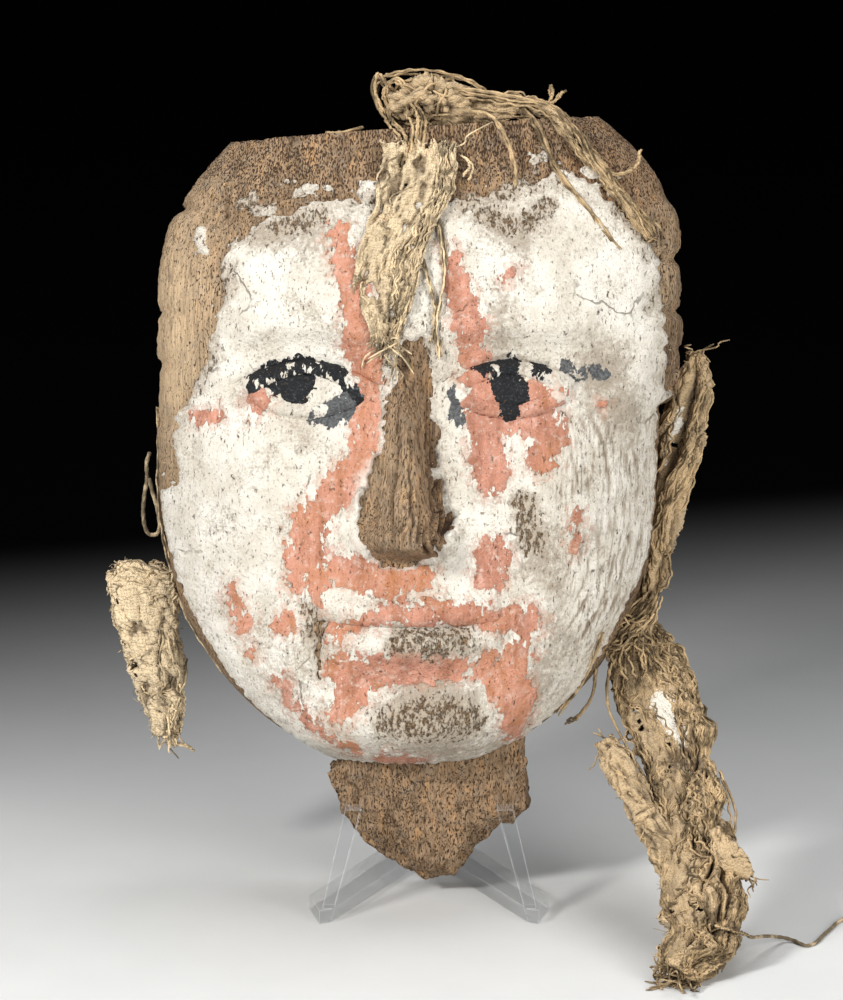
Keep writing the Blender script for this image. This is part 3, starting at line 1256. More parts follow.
def cloth_piece(name, grid, around, along, height, stained, tears=0.0, seed=1, chalk=None):
    """A sheet of cloth from its grid, torn through where the noise is high, and given its thickness.
    Its flat size is its length by its mean width when the folds are drawn out."""
    rows, columns = grid.shape[:2]
    faces = grid_faces(rows, columns)
    gap = noise(around, along / 2.2, 3.4, seed + 50) + 0.5 * noise(around, along, 1.7, seed + 51)
    used, faces = keep_used(faces[gap.ravel()[faces].max(1) < (1.05 - tears)])
    low, high = np.percentile(height, (8, 84) if stained else (6, 70))
    fields = {
        "hollow": clamp((high - height) / max(high - low, 1e-6)),
        "chalk": 0 * height if chalk is None else chalk,
    }
    fields = {key: values.ravel()[used] for key, values in fields.items()}
    uv = np.stack([around, along], -1).reshape(-1, 2)[used]
    points = grid.reshape(-1, 3)[used]
    piece = new_piece(name, points, faces, cloth_material(stained), fields, uv)
    wall = piece.modifiers.new("thickness", "SOLIDIFY")
    wall.thickness = CLOTH_WALL * MM
    wall.offset = -1
    length = np.linalg.norm(np.diff(grid, axis=0), axis=-1).sum(0).mean()
    area = quad_areas(grid).sum() * len(faces) / ((rows - 1) * (columns - 1))
    return piece, (area / length * MM, length * MM)


def sample(grid, row, column):
    """Points of a grid between its rows and columns, blended from the four nearest."""
    rows, columns = grid.shape[:2]
    row, column = clamp(row, 0, rows - 1.001), clamp(column, 0, columns - 1.001)
    r, c = row.astype(int), column.astype(int)
    y, x = (row - r)[..., None], (column - c)[..., None]
    low = grid[r, c] * (1 - x) + grid[r, c + 1] * x
    high = grid[r + 1, c] * (1 - x) + grid[r + 1, c + 1] * x
    return low * (1 - y) + high * y


def laid_yarns(
    grid, normal, count, seed, length=(0.1, 0.4), columns=(0.0, 1.0), drift=0.08, lift=0.5, steps=22
):
    """Yarns that lie on a cloth: each starts at a random place and wanders along its length, with
    small loops that rise off it."""
    random = np.random.default_rng(seed)
    rows, wide = grid.shape[:2]
    t = np.linspace(0, 1, steps)
    run = random.uniform(*length, (count, 1)) * random.choice([-1, 1], (count, 1))
    start = random.uniform(0, 1, (count, 1))
    lane = random.uniform(*columns, (count, 1))
    wave = sum(
        random.normal(0, 1 / k, (count, 1)) * np.sin(math.pi * k * t + random.uniform(0, 6.3, (count, 1)))
        for k in (1, 2, 3, 5)
    )
    row = clamp(start + run * t) * (rows - 1)
    column = clamp(lane + drift * wave * t) * (wide - 1)
    crimp = np.sin(t * steps * random.uniform(0.9, 1.5, (count, 1)) + random.uniform(0, 6.3, (count, 1)))
    column = clamp(column + 0.007 * wide * crimp, 0, wide - 1)
    rise = lift * (
        0.35 + np.abs(wave) * 0.35 + random.uniform(0, 0.6, (count, 1)) * np.sin(math.pi * t) ** 2
    )
    rise = rise + 0.16 * np.cos(t * steps * 1.2 + lane * 20)
    return sample(grid, row, column) + sample(normal, row, column) * rise[..., None]


def fuzz(grid, count, seed):
    """Short hair-fine fibres that stand off a cloth all over."""
    random = np.random.default_rng(seed)
    rows, wide = grid.shape[:2]
    roots = sample(grid, random.uniform(0, rows - 1, count), random.uniform(0, wide - 1, count))
    return frayed_yarns(
        roots, unit(random.normal(size=(count, 3))), seed, length=(0.8, 2.6), droop=0.1, steps=5
    )


def frayed_yarns(roots, ways, seed, length=(3, 9), spread=0.5, droop=0.25, steps=12):
    """Loose ends: each leaves its root along its way with a random lean, curls, and droops by the
    square of its length."""
    random = np.random.default_rng(seed)
    count = len(roots)
    t = np.linspace(0, 1, steps)[None, :, None]
    reach = random.uniform(*length, (count, 1, 1))
    lean = unit(ways + random.normal(0, spread, (count, 3)))[:, None]
    bend = random.normal(0, 0.42, (count, 1, 3))
    curl = random.normal(0, 0.13, (count, 1, 3)) * np.sin(t * random.uniform(4, 14, (count, 1, 1)))
    path = roots[:, None] + reach * (lean * t + bend * t**2 + curl)
    path[..., 2] -= droop * reach[..., 0] * t[..., 0] ** 2
    return path


def end_fray(grid, end, count, seed, **shape):
    """Loose ends along one torn end of a strip, its first (0) or its last (-1)."""
    random = np.random.default_rng(seed)
    rows, columns = grid.shape[:2]
    inner = 3 if end == 0 else rows - 4
    column = random.uniform(0, columns - 1.01, count)
    roots = sample(grid, np.full(count, float(inner)), column)
    tip = sample(grid, np.full(count, float(0 if end == 0 else rows - 1)), column)
    return frayed_yarns(roots, unit(tip - roots), seed, **shape)


def side_fray(grid, rows, column, way, seed, **shape):
    """Loose ends along one side of a strip, from evenly spaced rows (first, last, count)."""
    roots = sample(grid, np.linspace(*rows), np.full(rows[2], column))
    return frayed_yarns(roots, np.tile(way, (rows[2], 1)), seed, **shape)


def yarn_radius():
    """Half the diameter of one yarn, in mm."""
    return sizes().yarn / MM / 2


def yarn_piece(name, groups, stained=False):
    """One mesh of many yarns, from groups of paths, each with its share of a yarn's radius."""
    radius = yarn_radius()
    points, quads, caps, uvs, tone, start = [], [], [], [], [], 0
    random = np.random.default_rng(len(groups))
    for paths, share in groups:
        height = np.maximum(paths[..., 2:], radius * share + 0.05)
        paths = np.concatenate([paths[..., :2], height], -1)
        made, (body, ends), uv = tube_mesh(paths, radius * share, sides=3 if share < 0.4 else 4)
        own = random.uniform(0, 1, len(paths))
        tone += [np.repeat(own, (len(made) - 2 * len(paths)) // len(paths)), np.repeat(own, 2)]
        points.append(made)
        quads.append(body + start)
        caps.append(ends + start)
        uvs.append(uv)
        start += len(made)
    faces = [np.vstack(quads), np.vstack(caps)]
    fields = {"tone": np.concatenate(tone)}
    return new_piece(
        name, np.vstack(points), faces, yarn_material(stained), fields, np.vstack(uvs)
    )


def strand(points, steps=66, wobble=0.3, seed=1, copies=1, apart=0.5):
    """A hand-laid strand through a few points, with a small wobble and the kinks of old yarn, and
    copies laid beside it."""
    random = np.random.default_rng(seed)
    t = np.linspace(0, 1, steps)
    path = smooth_curve(points, t)[None] + np.zeros((copies, 1, 1))
    for k in (3, 7, 13):
        path += random.normal(0, wobble / k * 2, (copies, 1, 3)) * np.sin(
            k * t * 3 + random.uniform(0, 6, (copies, 1))
        )[..., None]
    for k in (17, 29):
        kink = random.normal(0, 1.7 / k, (copies, 1, 3))
        path += kink * np.sin(k * t * 3 + random.uniform(0, 6, (copies, 1)))[..., None]
    return path + random.normal(0, apart, (copies, 1, 3)) * (0 if copies == 1 else 1)


def table_strands(table, placed):
    """The strands of a table, their points placed by a function of three columns."""
    return [strand(placed(*np.transpose(points)), **laid) for laid, *points in table]


def skin(u, v, lift):
    """Row frame points that lie a lift over the face."""
    u, v = np.asarray(u, float), np.asarray(v, float)
    return on_mask(u, v, relief(u, v) + lift)


# Thickness of the linen in mm
CLOTH_WALL = 0.45


def rim_point(level, out, w=5.0, side=1):
    """A point beside the mask's edge, at a level and a distance out."""
    return on_mask(side * (half_width(np.float64(level), side) + out), level, w)


class MASK_OT_brow(bpy.types.Operator):
    """Lays the torn gauze on the forehead, with its loose yarns"""

    bl_idname = "mask.brow"
    bl_label = "Brow linen"

    def execute(self, context):
        rows, columns = 136, 54
        t = np.linspace(0, 1, rows)[:, None]
        a = np.linspace(-1, 1, columns)[None]
        v = MASK_HEIGHT - 4 - 51 * t + 0 * a
        v = v + 1.6 * noise(a * 8, 0, 1.6, 203) * (smooth(0.12, 0, t) + smooth(0.85, 1, t))
        middle = 3.2 - 9 * smooth(0.1, 0.75, t)
        half = 9.6 * (1 - 0.2 * t - 0.45 * smooth(0.72, 1, t)) * (
            1 + 0.16 * noise(t * 50, np.sign(a) * 4, 7, 205)
        )
        u = middle + half * a
        around, along = u - middle, 51 * t + 0 * a
        height = crumple(around * 1.5, along, 6, 1.1, 207, 1.8) + crumple(
            around, along, 1.7, 0.42, 208, 1.2
        )
        curl = 1.7 * np.abs(a) ** 5 * (0.4 + noise(t * 50, a * 3, 6, 209))
        lift = 1.9 + height + clamp(curl, -0.3, 2)
        grid = on_mask(u, v, relief(u, v) + lift)
        normal = normals_of(grid) * -np.sign(normals_of(grid)[..., 1:2])
        piece, flat = cloth_piece(
            "brow_cloth", grid[:, ::-1], around, along, height[:, ::-1], False, 0.12, 211
        )
        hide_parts("brow_linen")
        right = laid_yarns(grid, normal, 42, 213, (0.2, 0.5), (0.7, 1.0), 0.06, 0.8, 34)
        over = laid_yarns(grid, normal, 26, 215, (0.05, 0.2), (0, 1), 0.12, 0.4)
        edge = end_fray(grid, -1, 26, 217, length=(2, 7), spread=0.35, droop=0.5)
        top = end_fray(grid, 0, 12, 219, length=(1.5, 4), spread=0.5, droop=0.1)
        tails = [
            strand(
                skin([7.8, 9.3, 7.3, 8], [141, 128, 116, 106.5], [2.6, 2, 1.8, 2.4]), copies=5, seed=221
            ),
            strand(skin([3.8, 6.8, 6.3], [132, 119, 110.5], [2.6, 2, 1.8]), copies=4, seed=223),
            strand(skin([13.8, 16, 14.8], [158, 156, 152], [1.6, 2.6, 1.4]), copies=2, seed=225),
        ]
        fringe = yarn_piece(
            "brow_yarns",
            [(right, 1), (over, 0.8), (edge, 0.8), (top, 0.8), (fuzz(grid, 200, 227), 0.25)] + [
                (x, 1) for x in tails
            ],
        )
        return {"FINISHED"}


# Hand-laid strands: how each is laid, then its points (u, v, w) on the mask
KNOT_STRANDS = (
    (
        dict(copies=7, seed=315, apart=0.55), (4, 171, 17), (-1, 173.5, 17), (-4.7, 176, 16),
        (-7.4, 179, 15), (-8.6, 175, 17), (-7, 171, 19), (-5.3, 168.5, 20)
    ),
    (
        dict(copies=3, seed=317, apart=0.4), (0, 175, 20), (-3, 178.5, 20), (-6, 176, 19), (-5, 172, 18),
        (-1, 172.5, 19)
    ),
    (
        dict(copies=3, seed=319), (-6, 171, 20), (-4, 167, 26), (-1.4, 164, 30), (-0.7, 160, 31.5),
        (-2.4, 154, 32.5)
    ),
    (dict(copies=6, seed=320, apart=0.9), (0.8, 171, 22), (2.8, 167, 28.5), (2.3, 160, 31.8)),
    (
        dict(seed=321, wobble=0.15, copies=2, apart=0.15), (14, 170, 24), (20.8, 168.8, 28),
        (24.3, 164, 31.5), (27.1, 156.5, 32.2), (27.6, 151.5, 32.4), (26, 147.8, 32.2)
    ),
    (
        dict(copies=2, seed=323, wobble=0.1, apart=0.15), (-21.2, 164.2, 24), (-19, 164.3, 25.5),
        (-14, 165, 26.5), (-11.4, 165.7, 27)
    ),
    (dict(copies=3, seed=325), (-6.2, 179, 17), (2.8, 180.3, 17), (14.8, 178, 19), (22.8, 173, 19)),
    (
        dict(copies=7, seed=326, apart=0.9), (8, 176, 20), (16, 175, 21), (25, 173.5, 22), (34, 171.5, 23),
        (40, 168, 24)
    ),
)
END_STRANDS = (
    (dict(copies=4, seed=333, wobble=0.1, apart=0.35), (35.8, 171, 21), (37.3, 174, 21), (36.8, 176.5, 21)),
    (dict(copies=2, seed=335, apart=0.3), (36, 170.5, 22), (39, 173, 22), (41, 175, 22)),
)


class MASK_OT_crown(bpy.types.Operator):
    """Ties the knotted linen on the cut top, its tail down the temple and its loose strands"""

    bl_idname = "mask.crown"
    bl_label = "Crown linen"

    def execute(self, context):
        rows, columns = 76, 126
        tall = np.linspace(0.06, math.pi - 0.06, rows)[:, None]
        round_ = np.linspace(0, 2 * math.pi * 1.04, columns)[None]
        ball = np.stack(
            np.broadcast_arrays(
                np.sin(tall) * np.cos(round_), np.cos(tall), -np.sin(tall) * np.sin(round_)
            ), -1
        )
        around, along = 9.5 * round_ * np.sin(tall), 9 * tall + 0 * round_
        height = crumple(round_ * 9 + 0 * tall, along * 1.2, 5.4, 3.1, 301, 1.4) - 0.6
        local = ball * np.array([10.8, 6.6, 7.4]) + unit(ball) * height[..., None]
        cu, cv, cw = np.moveaxis(local + [5.75, MASK_HEIGHT + 6.3, 16], -1, 0)
        grid = on_mask(cu, np.maximum(cv, MASK_HEIGHT + 0.4 + TOP_SLOPE * cu), cw)
        knot, flat = cloth_piece("crown_knot", grid, around, along, height, True, 0.0, 303)
        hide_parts("crown_linen")

        temple = smooth_curve(
            [(14, 170.5, 17), (24, 171, 19.5), (33, 170.4, 21.5), (39.5, 166.5, 24), (45.5, 159.5, 27), (
                53.5, 149.5, 24
            ),
             (59.5, 141.5, 19.5), (63, 137, 15.5)], np.linspace(0, 1, 22),
        )
        lifted = np.maximum(
            temple[:, 2],
            np.where(
                temple[:, 1] < MASK_HEIGHT + 2,
                relief(temple[:, 0], np.minimum(temple[:, 1], MASK_HEIGHT)) + 1.6, 0
            )
        )
        path = on_mask(temple[:, 0], temple[:, 1], lifted)
        taper = np.interp(np.linspace(0, 1, 22), [0, 0.15, 0.5, 0.8, 1], [3.6, 2.6, 2.4, 1.8, 0.7])
        stations = np.column_stack([path, taper, taper * 0.42, np.linspace(0, 2.4, 22)])
        grid2, normal2, *laid = crushed_strip(
            stations, (0, -1, 0.3), 120, 28, (0.0, 5.6), 0.05, 305, fold=2.2, depth=0.8
        )
        tail, flat2 = cloth_piece("crown_tail", grid2, *laid, True, 0.25, 309)

        random = np.random.default_rng(311)
        turn = np.linspace(0, 1, 60)
        axis = unit(random.normal(size=(22, 1, 3)) * [1, 1.3, 0.8])
        first = unit(np.cross(axis, random.normal(size=(22, 1, 3))))
        second = np.cross(axis, first)
        phase = (
            turn * 2 * math.pi * random.uniform(0.15, 0.5, (22, 1)) + random.uniform(0, 6, (22, 1))
        )[..., None]
        wound = unit(
            first * np.cos(phase) + second * np.sin(phase) + axis * random.uniform(-0.6, 0.6, (22, 1, 1))
        )
        wound = wound * ([11.2, 7.2, 8] + random.normal(0, 0.7, (22, 1, 1)))
        wound += random.normal(0, 0.5, (22, 1, 3)) * np.sin(turn * 17)[:, None]
        wu, wv, ww = np.moveaxis(wound + [5.75, MASK_HEIGHT + 6.6, 16], -1, 0)
        winding = on_mask(wu, np.maximum(wv, MASK_HEIGHT + 0.6 + TOP_SLOPE * wu), ww)
        lay = laid_yarns(grid2, normal2, 70, 313, (0.2, 0.8), (0, 1), 0.12, 0.8, 30)
        strands = [
            *table_strands(KNOT_STRANDS, on_mask),
            strand(
                np.vstack(
                    [
                        on_mask([29.4, 33.8], [171.5, 166.5], [21, 27]),
                        skin([38.8, 46.8, 54.8], [154.8, 144.6, 134.5], 1.5)
                    ]
                ),
                copies=4, seed=327, apart=0.35
            ),
            strand(
                np.vstack(
                    [
                        on_mask([35.7, 41.8], [172, 165], [21, 25]),
                        skin([49.9, 57.8, 64.3], [154.5, 145, 138], 2)
                    ]
                ),
                copies=6, seed=329, apart=0.6
            ),
            strand(
                np.vstack(
                    [skin([50.7, 55.8], [153.8, 154], 2), on_mask([59.8, 60.1], [156.5, 160], [23, 24])]
                ),
                copies=2, seed=331, apart=0.2
            ),
            *table_strands(END_STRANDS, on_mask),
        ]
        loose = frayed_yarns(
            sample(grid, random.uniform(5, 60, 40), random.uniform(0, 149, 40)),
            unit(random.normal(size=(40, 3))), 337, length=(1.5, 5), droop=0.3
        )
        fringe = yarn_piece(
            "crown_yarns",
            [
                (winding, 1.2), (lay, 1), (loose, 0.6), (fuzz(grid, 220, 341), 0.3),
                (fuzz(grid2, 200, 343), 0.3)
            ]
            + [(x, 1.25) for x in strands],
            True,
        )
        return {"FINISHED"}


# Stations of the hanging strip, its flap and its tag: shares right, forward and up from the jaw's
# foot, half width as a share, half thickness in mm
HANGING_STATIONS = (
    (-0.2, -0.02, 1.12, 0.45, 2.4), (0.1, 0, 0.98, 0.9, 3), (0.36, 0.1, 0.83, 1.08, 3.2),
    (0.6, 0.27, 0.69, 0.95, 3), (0.72, 0.43, 0.57, 0.92, 3), (0.8, 0.57, 0.46, 0.95, 3),
    (0.87, 0.7, 0.31, 1, 2.9), (0.9, 0.83, 0.18, 1.02, 2.6), (0.62, 0.91, 0.1, 0.62, 2.4),
    (0.46, 0.95, 0.042, 0.42, 1.8),
)
FLAP_STATIONS = (
    (0.55, 0.68, 0.31, 0.3, 2), (0.36, 0.61, 0.41, 0.42, 2.6), (0.1, 0.55, 0.50, 0.36, 2.5),
    (-0.14, 0.48, 0.6, 0.37, 2.6), (-0.37, 0.41, 0.68, 0.36, 2.5), (-0.54, 0.35, 0.745, 0.22, 1.6),
)
TAG_STATIONS = (
    (1.12, 0.66, 0.52, 0.1, 0.8), (1.24, 0.68, 0.45, 0.26, 1.2), (1.46, 0.7, 0.385, 0.34, 1.2),
    (1.68, 0.71, 0.335, 0.08, 0.6),
)
# Strands from the knot at the jaw: how each is laid, then its points in mm from the knot
JAW_STRANDS = (
    (
        dict(copies=2, seed=471, apart=0.25, wobble=0.15), (-2, -2, 0), (-6, -7, -6), (-7.5, -10, -14),
        (-11, -12, -19), (-14.5, -13, -20.5)
    ),
    (
        dict(copies=2, seed=473, apart=0.2, wobble=0.15), (0, -4, -3), (-3, -9, -8), (-3.2, -14, -16),
        (1, -20, -24), (6, -27, -31)
    ),
    (dict(copies=9, seed=477, apart=1.5, wobble=1.1), (9, 3, 10), (4, -2, 2), (-1, -5, -3), (1, -7, -9)),
    (dict(copies=9, seed=479, apart=1.5, wobble=1.1), (-5, 0, 4), (1, -4, 4), (6, -5, 0), (9, -7, -9)),
    (dict(copies=8, seed=480, apart=1.2, wobble=1.0), (-9, -2, -7), (-3, -5, -2), (3, -5, 1), (9, -3, 6)),
)
# Steps of the thin strand along the lower rim: level, distance out and height over the back, in mm
RIM_STEPS = (
    (92, 0.9, 3), (82, 0.5, 6), (70, 0.8, 8), (58, 0.7, 9), (46, 0.8, 9), (34, 0.8, 9), (22, 0.6, 8)
)


class MASK_OT_side(bpy.types.Operator):
    """Hangs the torn strip on the right edge, from the temple to the table, with its flap"""

    bl_idname = "mask.side"
    bl_label = "Side linen"

    def execute(self, context):
        edge = [
            (1.12, 1.8, 0.15, 0.8, 0), (1.05, 1.6, 0.5, 2, 0.2), (0.94, 5.2, 0.85, 2.9, 0.5),
            (0.86, 4, 0.95, 3.1, 0.8), (0.74, 1.6, 0.7, 3, 1.2), (0.62, 1, 0.6, 3, 1.5),
            (0.52, 1.3, 0.55, 2.7, 1.2), (0.43, 0.5, 0.55, 2.5, 0.8), (0.33, 1.2, 0.6, 2.5, 0.3),
            (0.27, 0.4, 0.6, 2.4, 0),
        ]
        stations = [
            (
                *rim_point(level * 95, 2.6 + out), share * 6.7, thick, turn
            ) for level, out, share, thick, turn in edge
        ]
        grid, normal, around, along = carried_strip(stations, (0, -1, 0.2), 214, 74, (-0.4, 6.3), 0.03, 401)
        share = np.linspace(0, 1, 214)[:, None]
        bend = np.linspace(-0.4, 6.3, 74)[None]
        fork = bell((bend - 1.75 - 0.8 * (share - 0.2)) / 0.3) * (1 - smooth(0.3, 0.5, share)) * smooth(
            0.02, 0.1, share
        )
        height = crumple(around, along, 3.8, 1.7, 403, 9) - 3.4 * fork
        grid = grid + normal * height[..., None]
        chalk = 0.9 * bell((share - 0.26) / 0.1, (bend - 1.35) / 0.25) + 0.6 * bell(
            (share - 0.4) / 0.04, (bend - 1.2) / 0.3
        )
        edge_cloth, edge_flat = cloth_piece(
            "edge_cloth", grid, around, along, height, True, 0.3, 405, chalk
        )

        top = on_mask(half_width(np.float64(28), 1) + 7, 28, 5)
        scale = np.array([16, -88, top[2]])

        def hanging(r, f, h, share, thick, turn=0.0):
            return (*(np.array([top[0], top[1], 0]) + scale * [r, f, h]), share * 9, thick, turn)

        body = [hanging(*station) for station in HANGING_STATIONS]
        rows, columns = 300, 92
        grid2, normal2, around2, along2 = carried_strip(
            body, (0, -1, 0.4), rows, columns, (-0.5, 6.2), 0.02, 411
        )
        share = np.linspace(0, 1, rows)[:, None]
        turn = np.linspace(-0.5, 6.2, columns)[None]
        loose = 0.4 + 0.6 * smooth(1.1, 2.1, turn + 1.2 * noise(along2, 0, 12, 416))
        folds = crumple(around2, along2, 4.2, 2.6, 413, 11) * loose
        hole = smooth(0.22, 0.5, noise(around2 + 0.25 * along2, along2 / 2.6, 4.2, 418))
        hole = hole * smooth(1.15, 1.6, turn) * smooth(0.3, 0.42, share) * (
            1 - 0.5 * smooth(2.3, 2.8, turn)
        )
        height2 = folds - 3.4 * hole + crumple(around2, along2, 1.7, 0.26, 414, 2.2)
        grid2 = grid2 + normal2 * height2[..., None]
        grid2[..., 2] = np.maximum(grid2[..., 2], 0.5 + 0.25 * noise(around2, along2, 2, 415))
        chalk = 1.25 * bell((share - 0.275) / 0.045, (turn - 1.62) / 0.4) + 0.7 * bell(
            (share - 0.33) / 0.03, (turn - 1.8) / 0.32
        )
        body_cloth, body_flat = cloth_piece(
            "hanging_cloth", grid2, around2, along2, height2, True, 0.3, 417, chalk
        )
        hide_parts("side_wrap")

        flap = [hanging(*station) for station in FLAP_STATIONS]
        grid3, normal3, *laid = crushed_strip(
            flap, (0, -1, 0.4), 112, 52, (0.0, 6.4), 0.02, 421, fold=3, depth=0.9
        )
        flap_cloth, flap_flat = cloth_piece("flap_cloth", grid3, *laid, True, 0.15, 425)

        tag = [hanging(*station) for station in TAG_STATIONS]
        grid4, normal4, around4, along4, _ = crushed_strip(
            tag, (0, -1, 0.4), 44, 26, (0.0, 6.0), 0.05, 431, fold=2, depth=0.7
        )

        edge_yarns = [
            (laid_yarns(grid, normal, 50, 441, (0.05, 0.2), (0, 1), 0.12, 0.8), 1),
            (laid_yarns(grid, normal, 76, 443, (0.2, 0.6), (0.1, 0.6), 0.08, 0.8, 52), 1.1),
            (fuzz(grid, 260, 449), 0.3),
            (end_fray(grid, 0, 14, 445, length=(2, 6)), 0.8),
            (side_fray(grid, (16, 198, 30), 3.0, [1.0, -0.3, -0.2], 447, length=(1.5, 4)), 0.7),
        ]
        body_yarns = [
            (laid_yarns(grid2, normal2, 60, 451, (0.03, 0.14), (0, 0.62), 0.10, 0.8), 0.9),
            (laid_yarns(grid2, normal2, 96, 453, (0.15, 0.5), (0.33, 0.6), 0.05, 1.1, 56), 1.15),
            (laid_yarns(grid2, normal2, 40, 452, (0.08, 0.25), (0.28, 0.5), 0.09, 1.6, 40), 1.0),
            (laid_yarns(grid2, normal2, 30, 454, (0.2, 0.4), (0.02, 0.16), 0.05, 0.9, 56), 1.2),
            (laid_yarns(grid2, normal2, 22, 455, (0.15, 0.4), (0.2, 0.4), 0.08, 0.7, 50), 1.0),
            (laid_yarns(grid3, normal3, 46, 457, (0.1, 0.4), (0, 1), 0.14, 0.6), 1),
            (fuzz(grid2, 460, 483), 0.3), (fuzz(grid3, 120, 485), 0.3),
            (laid_yarns(grid4, normal4, 24, 459, (0.2, 0.6), (0, 1), 0.10, 0.5), 0.9),
            (end_fray(grid2, -1, 46, 461, length=(3, 9), spread=0.5, droop=0.2), 0.9),
            (end_fray(grid3, -1, 18, 463, length=(1.5, 4)), 0.8),
            (end_fray(grid4, -1, 8, 465, length=(2, 5)), 0.7),
            (side_fray(grid2, (22, 286, 46), 7.0, [1.0, -0.2, -0.3], 467, length=(1.5, 5), droop=0.4), 0.7),
            (
                side_fray(grid2, (42, 286, 30), 46.0, [-1.0, -0.2, -0.3], 469, length=(1.5, 5), droop=0.4),
                0.7
            ),
        ]
        knot = on_mask(55.5, 33, 12)
        jaw = skin([50, 45, 39.5], [33.5, 22, 13.5], 0.4)
        made = table_strands(JAW_STRANDS, lambda x, y, z: knot + np.stack([x, y, z], -1))
        bows = [
            *made[:2],
            strand(
                [knot + [6, 2, 8], knot + [0, -1, 3], knot + [-6, -3, -4], *(jaw - [0, 0.5, 0])], copies=5,
                seed=475, apart=0.8
            ),
            *made[2:],
            strand(
                [
                    top + [20, -35, -22], top + [23.5, -43, -30], top + [22.5, -53, -38],
                    top + [25, -64, -47]
                ],
                copies=2, seed=481, apart=0.4
            ),
        ]
        foot = np.array(FLOOR_ROUTE[0]) + SHIFT
        bows.append(
            strand(
                [foot + [-9, -3, 4], foot + [-5, -2, 2.4], foot + [-2, -0.6, 1], foot], seed=482, copies=2,
                apart=0.15, wobble=0.1
            )
        )
        fringe = yarn_piece("edge_yarns", edge_yarns, True)
        fringe2 = yarn_piece("hanging_yarns", body_yarns + [(x, 1.15) for x in bows], True)
        yarn_piece(
            "rim_yarns",
            [(strand([rim_point(*step, -1) for step in RIM_STEPS], 60, copies=4, seed=483, apart=0.45), 1.1)],
        )
        # The tag is clean and pale, so its folds hold no dark
        even = np.zeros_like(around4)
        tag_cloth, tag_flat = cloth_piece("tag_cloth", grid4, around4, along4, even, True, 0.0, 435)
        return {"FINISHED"}


# Stations of the scrap's rolled edge and body: left, forward and drop as shares, half width and half
# thickness in mm, and the roll's turn
ROLL_STATIONS = (
    (-0.25, 0.3, 0.06, 1.2, 1.2), (0.1, 0.4, -0.03, 2, 1.8, 0.5), (0.5, 1.3, -0.1, 2.4, 2, 1.2),
    (1.2, 2, -0.15, 2.4, 2, 2), (1.8, 2.2, -0.17, 2.1, 1.8, 2.6), (2.1, 2.25, -0.19, 1.2, 1.2, 3),
)
SCRAP_STATIONS = (
    (1.32, 1.9, -0.17, 8, 1.3), (1.28, 2.25, -0.01, 8.2, 1.9), (1.07, 2.5, 0.24, 7, 2),
    (0.8, 2.7, 0.5, 6.4, 2), (0.68, 2.8, 0.67, 4.4, 2.3), (0.64, 2.9, 0.82, 2.6, 1.6),
)


class MASK_OT_scrap(bpy.types.Operator):
    """Hangs the crepe scrap from the left jaw by its rolled upper edge"""

    bl_idname = "mask.scrap"
    bl_label = "Side scrap"

    def execute(self, context):
        root = on_mask(-(half_width(np.float64(42), -1) + 1.7), 42, 4)

        def hung(left, forward, drop, half, thick, turn=0.0):
            return (
                root[0] + 1.6 - left * 8.2, root[1] - forward * 2, root[2] + 0.8 - drop * 45, half, thick,
                turn
            )

        roll = [hung(*station) for station in ROLL_STATIONS]
        body = [hung(*station) for station in SCRAP_STATIONS]
        grid, normal, around, along = carried_strip(body, (0, -1, 0), 150, 86, (-0.3, 6.1), 0.03, 501)
        crepe = crumple(around, along, 1.5, 0.55, 503, 1.1) + crumple(around, along, 5, 0.9, 505, 2.6)
        grid = grid + normal * crepe[..., None]
        body_cloth, flat = cloth_piece("scrap_cloth", grid, around, along, crepe, False, 0.22, 507)
        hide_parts("side_scrap")
        grid2, normal2, *laid = crushed_strip(
            roll, (0, -1, 0), 86, 38, (0, 6.6), 0.04, 511, fold=2, depth=0.9
        )
        roll_cloth, flat2 = cloth_piece("roll_cloth", grid2, *laid, False, 0.2, 515)
        foot = np.array(hung(0.62, 2.9, 0.8, 0, 0)[:3])
        groups = [
            (laid_yarns(grid2, normal2, 46, 521, (0.3, 0.8), (0, 1), 0.15, 0.7), 1),
            (laid_yarns(grid, normal, 34, 523, (0.05, 0.3), (0, 0.6), 0.14, 0.5), 0.9),
            (fuzz(grid, 300, 539), 0.25), (fuzz(grid2, 90, 541), 0.25),
            (laid_yarns(grid, normal, 36, 525, (0.2, 0.4), (0.3, 0.62), 0.06, 1.2), 1.1),
            (end_fray(grid, -1, 24, 527, length=(1.5, 4.5), spread=0.4, droop=0.3), 0.9),
            (end_fray(grid2, -1, 12, 529, length=(0.8, 2.2)), 0.8),
            (side_fray(grid, (8, 142, 40), 5.5, [1.0, -0.2, -0.2], 531, length=(1, 3), droop=0.3), 0.7),
            (side_fray(grid, (8, 142, 40), 45.0, [-1.0, -0.2, -0.2], 533, length=(1, 3), droop=0.3), 0.7),
            (
                strand(
                    [foot, foot + [1.5, -0.4, -3.2], foot + [4.5, -0.8, -4], foot + [7.5, -1, -4.8]],
                    copies=3, seed=535, apart=0.35
                ),
                1.1
            ),
            (
                strand(
                    [root + [0, 0, 8], root + [-3, -1, 5], root + [-5, -2, 10], root + [-9, -3, 8]],
                    copies=5, seed=537, apart=0.5
                ),
                1
            ),
        ]
        fringe = yarn_piece("scrap_yarns", groups)
        return {"FINISHED"}


